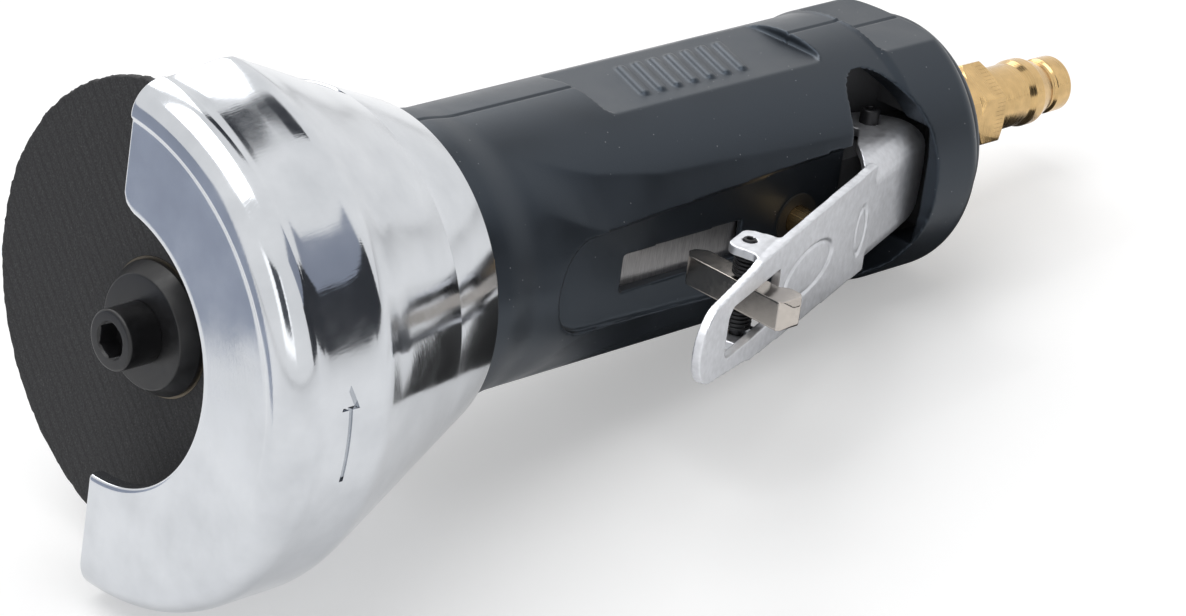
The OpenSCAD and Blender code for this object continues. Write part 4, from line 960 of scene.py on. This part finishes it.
def airPlug():
    p = plugSizes
    b, c, g, t = p["body"], p["collar"], p["groove"], p["tip"]
    (start, thread), (x0, x1), core, bore = p["thread"], p["hex"][:2], p["core"], p["bore"]
    outline = [(bore, start, 0.2), (thread, start, 0.5), (thread, x0 + 1), (core, x0 + 1), (core, x1 - 0.4),
               (b[0], x1 - 0.2), (b[0] - 0.1, b[1] - 0.5, 0.5), (c[0], b[1] + 0.9, 1.1), (c[0], c[1] - 0.6, 0.9),
               (g[0], g[1] - 0.6, 0.3), (g[0], g[1], 0.15), (t[0], g[1] + 0.45, 0.3), (t[0], t[1] - t[2], 0.8),
               (t[0] - t[2], t[1], 0.35), (bore, t[1], 0.4)]
    turned = lathe("plugTurned", rounded(outline, 6), 180)
    body = carve(hexBar("airPlug", *p["hex"]), hexTicks())
    r, low, high = p["hexBore"]
    carve(body, lathe("plugBore", [(0, low), (r, low), (r, high), (0, high)], 72))
    return joined("airPlug", body, turned)


def inletBush():
    b = bushSizes
    start, thread = b["thread"]
    inner, bore, seat, end = b["inner"], b["bore"], b["seat"], b["hex"][0] + 0.5
    outline = [(inner, start, 0.2), (thread, start, 0.5), (thread, end), (inner, end)]
    turned = lathe("bushThread", rounded(outline, 4))
    hole = [(0, 150), (inner, 150), (inner, seat), (bore, seat), (bore, 190), (0, 190)]
    body = carve(hexBar("bushHex", *b["hex"]), lathe("bushBore", hole, 72))
    return joined("inletBush", body, turned)


settle(airPlug(), "housing", "brass", brassFinish, "air_plug", sharp=30)
settle(inletBush(), "housing", "inlet", brassFinish, "inlet_bush", sharp=30)
print("stage 9: air plug and bush")

# Finishes of the CAD nodes that are shown as they are.
cadFinishes = (
    (ringFinish, "disc_ring"), (vaneFinish, "rotor_vanes"), (oxideFinish, "guard_grub_screw"),
    (housingFinish, "motor_housing"), (feltFinish, "muffler_felt"), (coverFinish, "exhaust_cover"),
    (sealFinish, "valve_seal"), (bushShadeFinish, "valve_bush"),
    (darkFinish, "inner_flange", "cylinder_liner", "clamp_nut"),
    (brassFinish, "inlet_screen", "valve_stem", "front_bearing_cage", "rear_bearing_cage"),
    (steelFinish, "rotor", "front_end_plate", "rear_end_plate", "cylinder_dowel", "valve_plug"),
    (steelFinish, "front_bearing_inner", "front_bearing_outer", "front_bearing_balls"),
    (steelFinish, "rear_bearing_inner", "rear_bearing_outer", "rear_bearing_balls"),
)
for finish, *names in cadFinishes:
    for name in names:
        dress(nodes[name], finish)
print("stage 10:", sum(len(row) - 1 for row in cadFinishes), "CAD nodes dressed")

# Stage: pale floor, white backdrop, soft light and the photograph's camera.
light = {
    "world": 0.4, "aim": (-0.06, 0, 0.05),
    "lamps": {  # power, place, size
        "key": (4.9, (-0.25, 0.05, 1.0), 0.8), "back": (4.2, (0.35, 0.75, 0.75), 0.7),
        "front": (0.8, (-0.8, -0.75, 0.5), 0.6)},
    "flags": {  # centre, width, height, shade
        "nearFlag": ((0.075, -0.195, 0.10), 0.17, 0.10, 0.03), "softFlag": ((0.075, -0.195, 0.195), 0.15, 0.09, 0.35),
        "sideFlag": ((0.19, -0.235, 0.10), 0.15, 0.13, 0.03), "topFlag": ((0.60, 0.17, 0.80), 0.32, 0.30, 0.04),
        "leftFlag": ((-0.195, 0.092, 0.055), 0.15, 0.11, 0.50), "frontFlag": ((-0.52, -0.52, 0.40), 0.22, 0.30, 0.06)},
    "flagTint": (1, 1.1, 1.35),
    "floorCards": {  # corners, shade
        # the two dark cards are painted shade of the floor under the tool, the pale card a painted reflection of lit
        # floor
        "frontShadeCard": ((-0.012, -0.040), (0.055, 0.05), 0.03), "rearShadeCard": ((0.055, -0.022), (0.11, 0.05), 0.03),
        "litFloorCard": ((0.058, -0.11), (0.21, -0.024), 0.97)},
    "cardHigh": 0.0004,
}
floorSizes = {"half": 3, "tone": 0.74, "tones": (0.72, 0.75), "rough": 0.9, "grain": 3, "glow": 0.34}
cameraSizes = {"place": (-0.45444, -0.44571, 0.37352), "turn": (60.4486, -1.8953, -43.865), "lens": 138.0}


def seenDirectly(tree):  # camera, glossy and transmission rays
    path = tree.nodes.new("ShaderNodeLightPath")
    total = path.outputs["Is Camera Ray"]
    for other in ("Is Glossy Ray", "Is Transmission Ray"):
        add = tree.nodes.new("ShaderNodeMath")
        add.operation = "MAXIMUM"
        tree.links.new(total, add.inputs[0])
        tree.links.new(path.outputs[other], add.inputs[1])
        total = add.outputs[0]
    return total


world = bpy.data.worlds.new("studio")
scene.world = world
world.use_nodes = True
sky = world.node_tree
plain, white = sky.nodes["Background"], sky.nodes.new("ShaderNodeBackground")
for shade, strength in ((plain, light["world"]), (white, 1.0)):
    shade.inputs["Color"].default_value = (1, 1, 1, 1)
    shade.inputs["Strength"].default_value = strength
pick = sky.nodes.new("ShaderNodeMixShader")
sky.links.new(seenDirectly(sky), pick.inputs[0])
sky.links.new(plain.outputs[0], pick.inputs[1])
sky.links.new(white.outputs[0], pick.inputs[2])
sky.links.new(pick.outputs[0], sky.nodes["World Output"].inputs["Surface"])


def flatCard(name, x0, x1, y0, y1, z):
    return newMesh(name, [(x0, y0, z), (x1, y0, z), (x1, y1, z), (x0, y1, z)], [(0, 1, 2, 3)])


edge = floorSizes["half"]
floor = flatCard("floor", -edge, edge, -edge, edge, 0)
floorFinish, floorTree, floorShader = newFinish("paleFloor", (floorSizes["tone"],) * 3, floorSizes["rough"])
floorTone = floorTree.nodes.new("ShaderNodeTexNoise")
floorTone.inputs["Scale"].default_value = floorSizes["grain"]
drive(floorTree, floorShader, "Base Color", between(floorTree, floorTone.outputs["Fac"], *floorSizes["tones"]))
glow = floorTree.nodes.new("ShaderNodeEmission")
glow.inputs["Strength"].default_value = floorSizes["glow"]
both = floorTree.nodes.new("ShaderNodeAddShader")
floorTree.links.new(floorShader.outputs[0], both.inputs[0])
floorTree.links.new(glow.outputs[0], both.inputs[1])
floorTree.links.new(both.outputs[0], floorTree.nodes["Material Output"].inputs["Surface"])
dress(floor, floorFinish)


def aimed(item, place):
    item.location = place
    item.rotation_euler = (Vector(light["aim"]) - Vector(place)).to_track_quat("-Z", "Y").to_euler()
    return item


def softBox(name, power, place, size):
    lamp = bpy.data.lights.new(name, "AREA")
    lamp.shape, lamp.size, lamp.energy = "SQUARE", size, power
    scene.collection.objects.link(aimed(bpy.data.objects.new(name, lamp), place))


def mirrored(card, colour):  # lets a card show in reflections only
    dress(card, newFinish(card.name, colour, 0.9)[0])
    card.visible_camera = card.visible_diffuse = card.visible_shadow = card.visible_transmission = False


for name, lamp in light["lamps"].items():
    softBox(name, *lamp)
for name, (place, wide, high, shade) in light["flags"].items():
    held = aimed(flatCard(name, -wide / 2, wide / 2, -high / 2, high / 2, 0), place)
    mirrored(held, tuple(shade * c for c in light["flagTint"]))
for name, ((x0, y0), (x1, y1), shade) in light["floorCards"].items():  # painted shade for the grip's underside and a painted reflection of lit floor for the lever
    mirrored(flatCard(name, x0, x1, y0, y1, light["cardHigh"]), (shade,) * 3)

lens = bpy.data.cameras.new("photoCamera")
lens.lens, lens.sensor_width, lens.sensor_fit = cameraSizes["lens"], 36, "HORIZONTAL"
lens.clip_start, lens.clip_end = 0.01, 20
camera = bpy.data.objects.new("photoCamera", lens)
camera.location = cameraSizes["place"]
camera.rotation_euler = tuple(math.radians(a) for a in cameraSizes["turn"])
scene.collection.objects.link(camera)
scene.camera = camera
bpy.context.scene.view_settings.view_transform = "Standard"

print("stage 11: stage, light and camera")
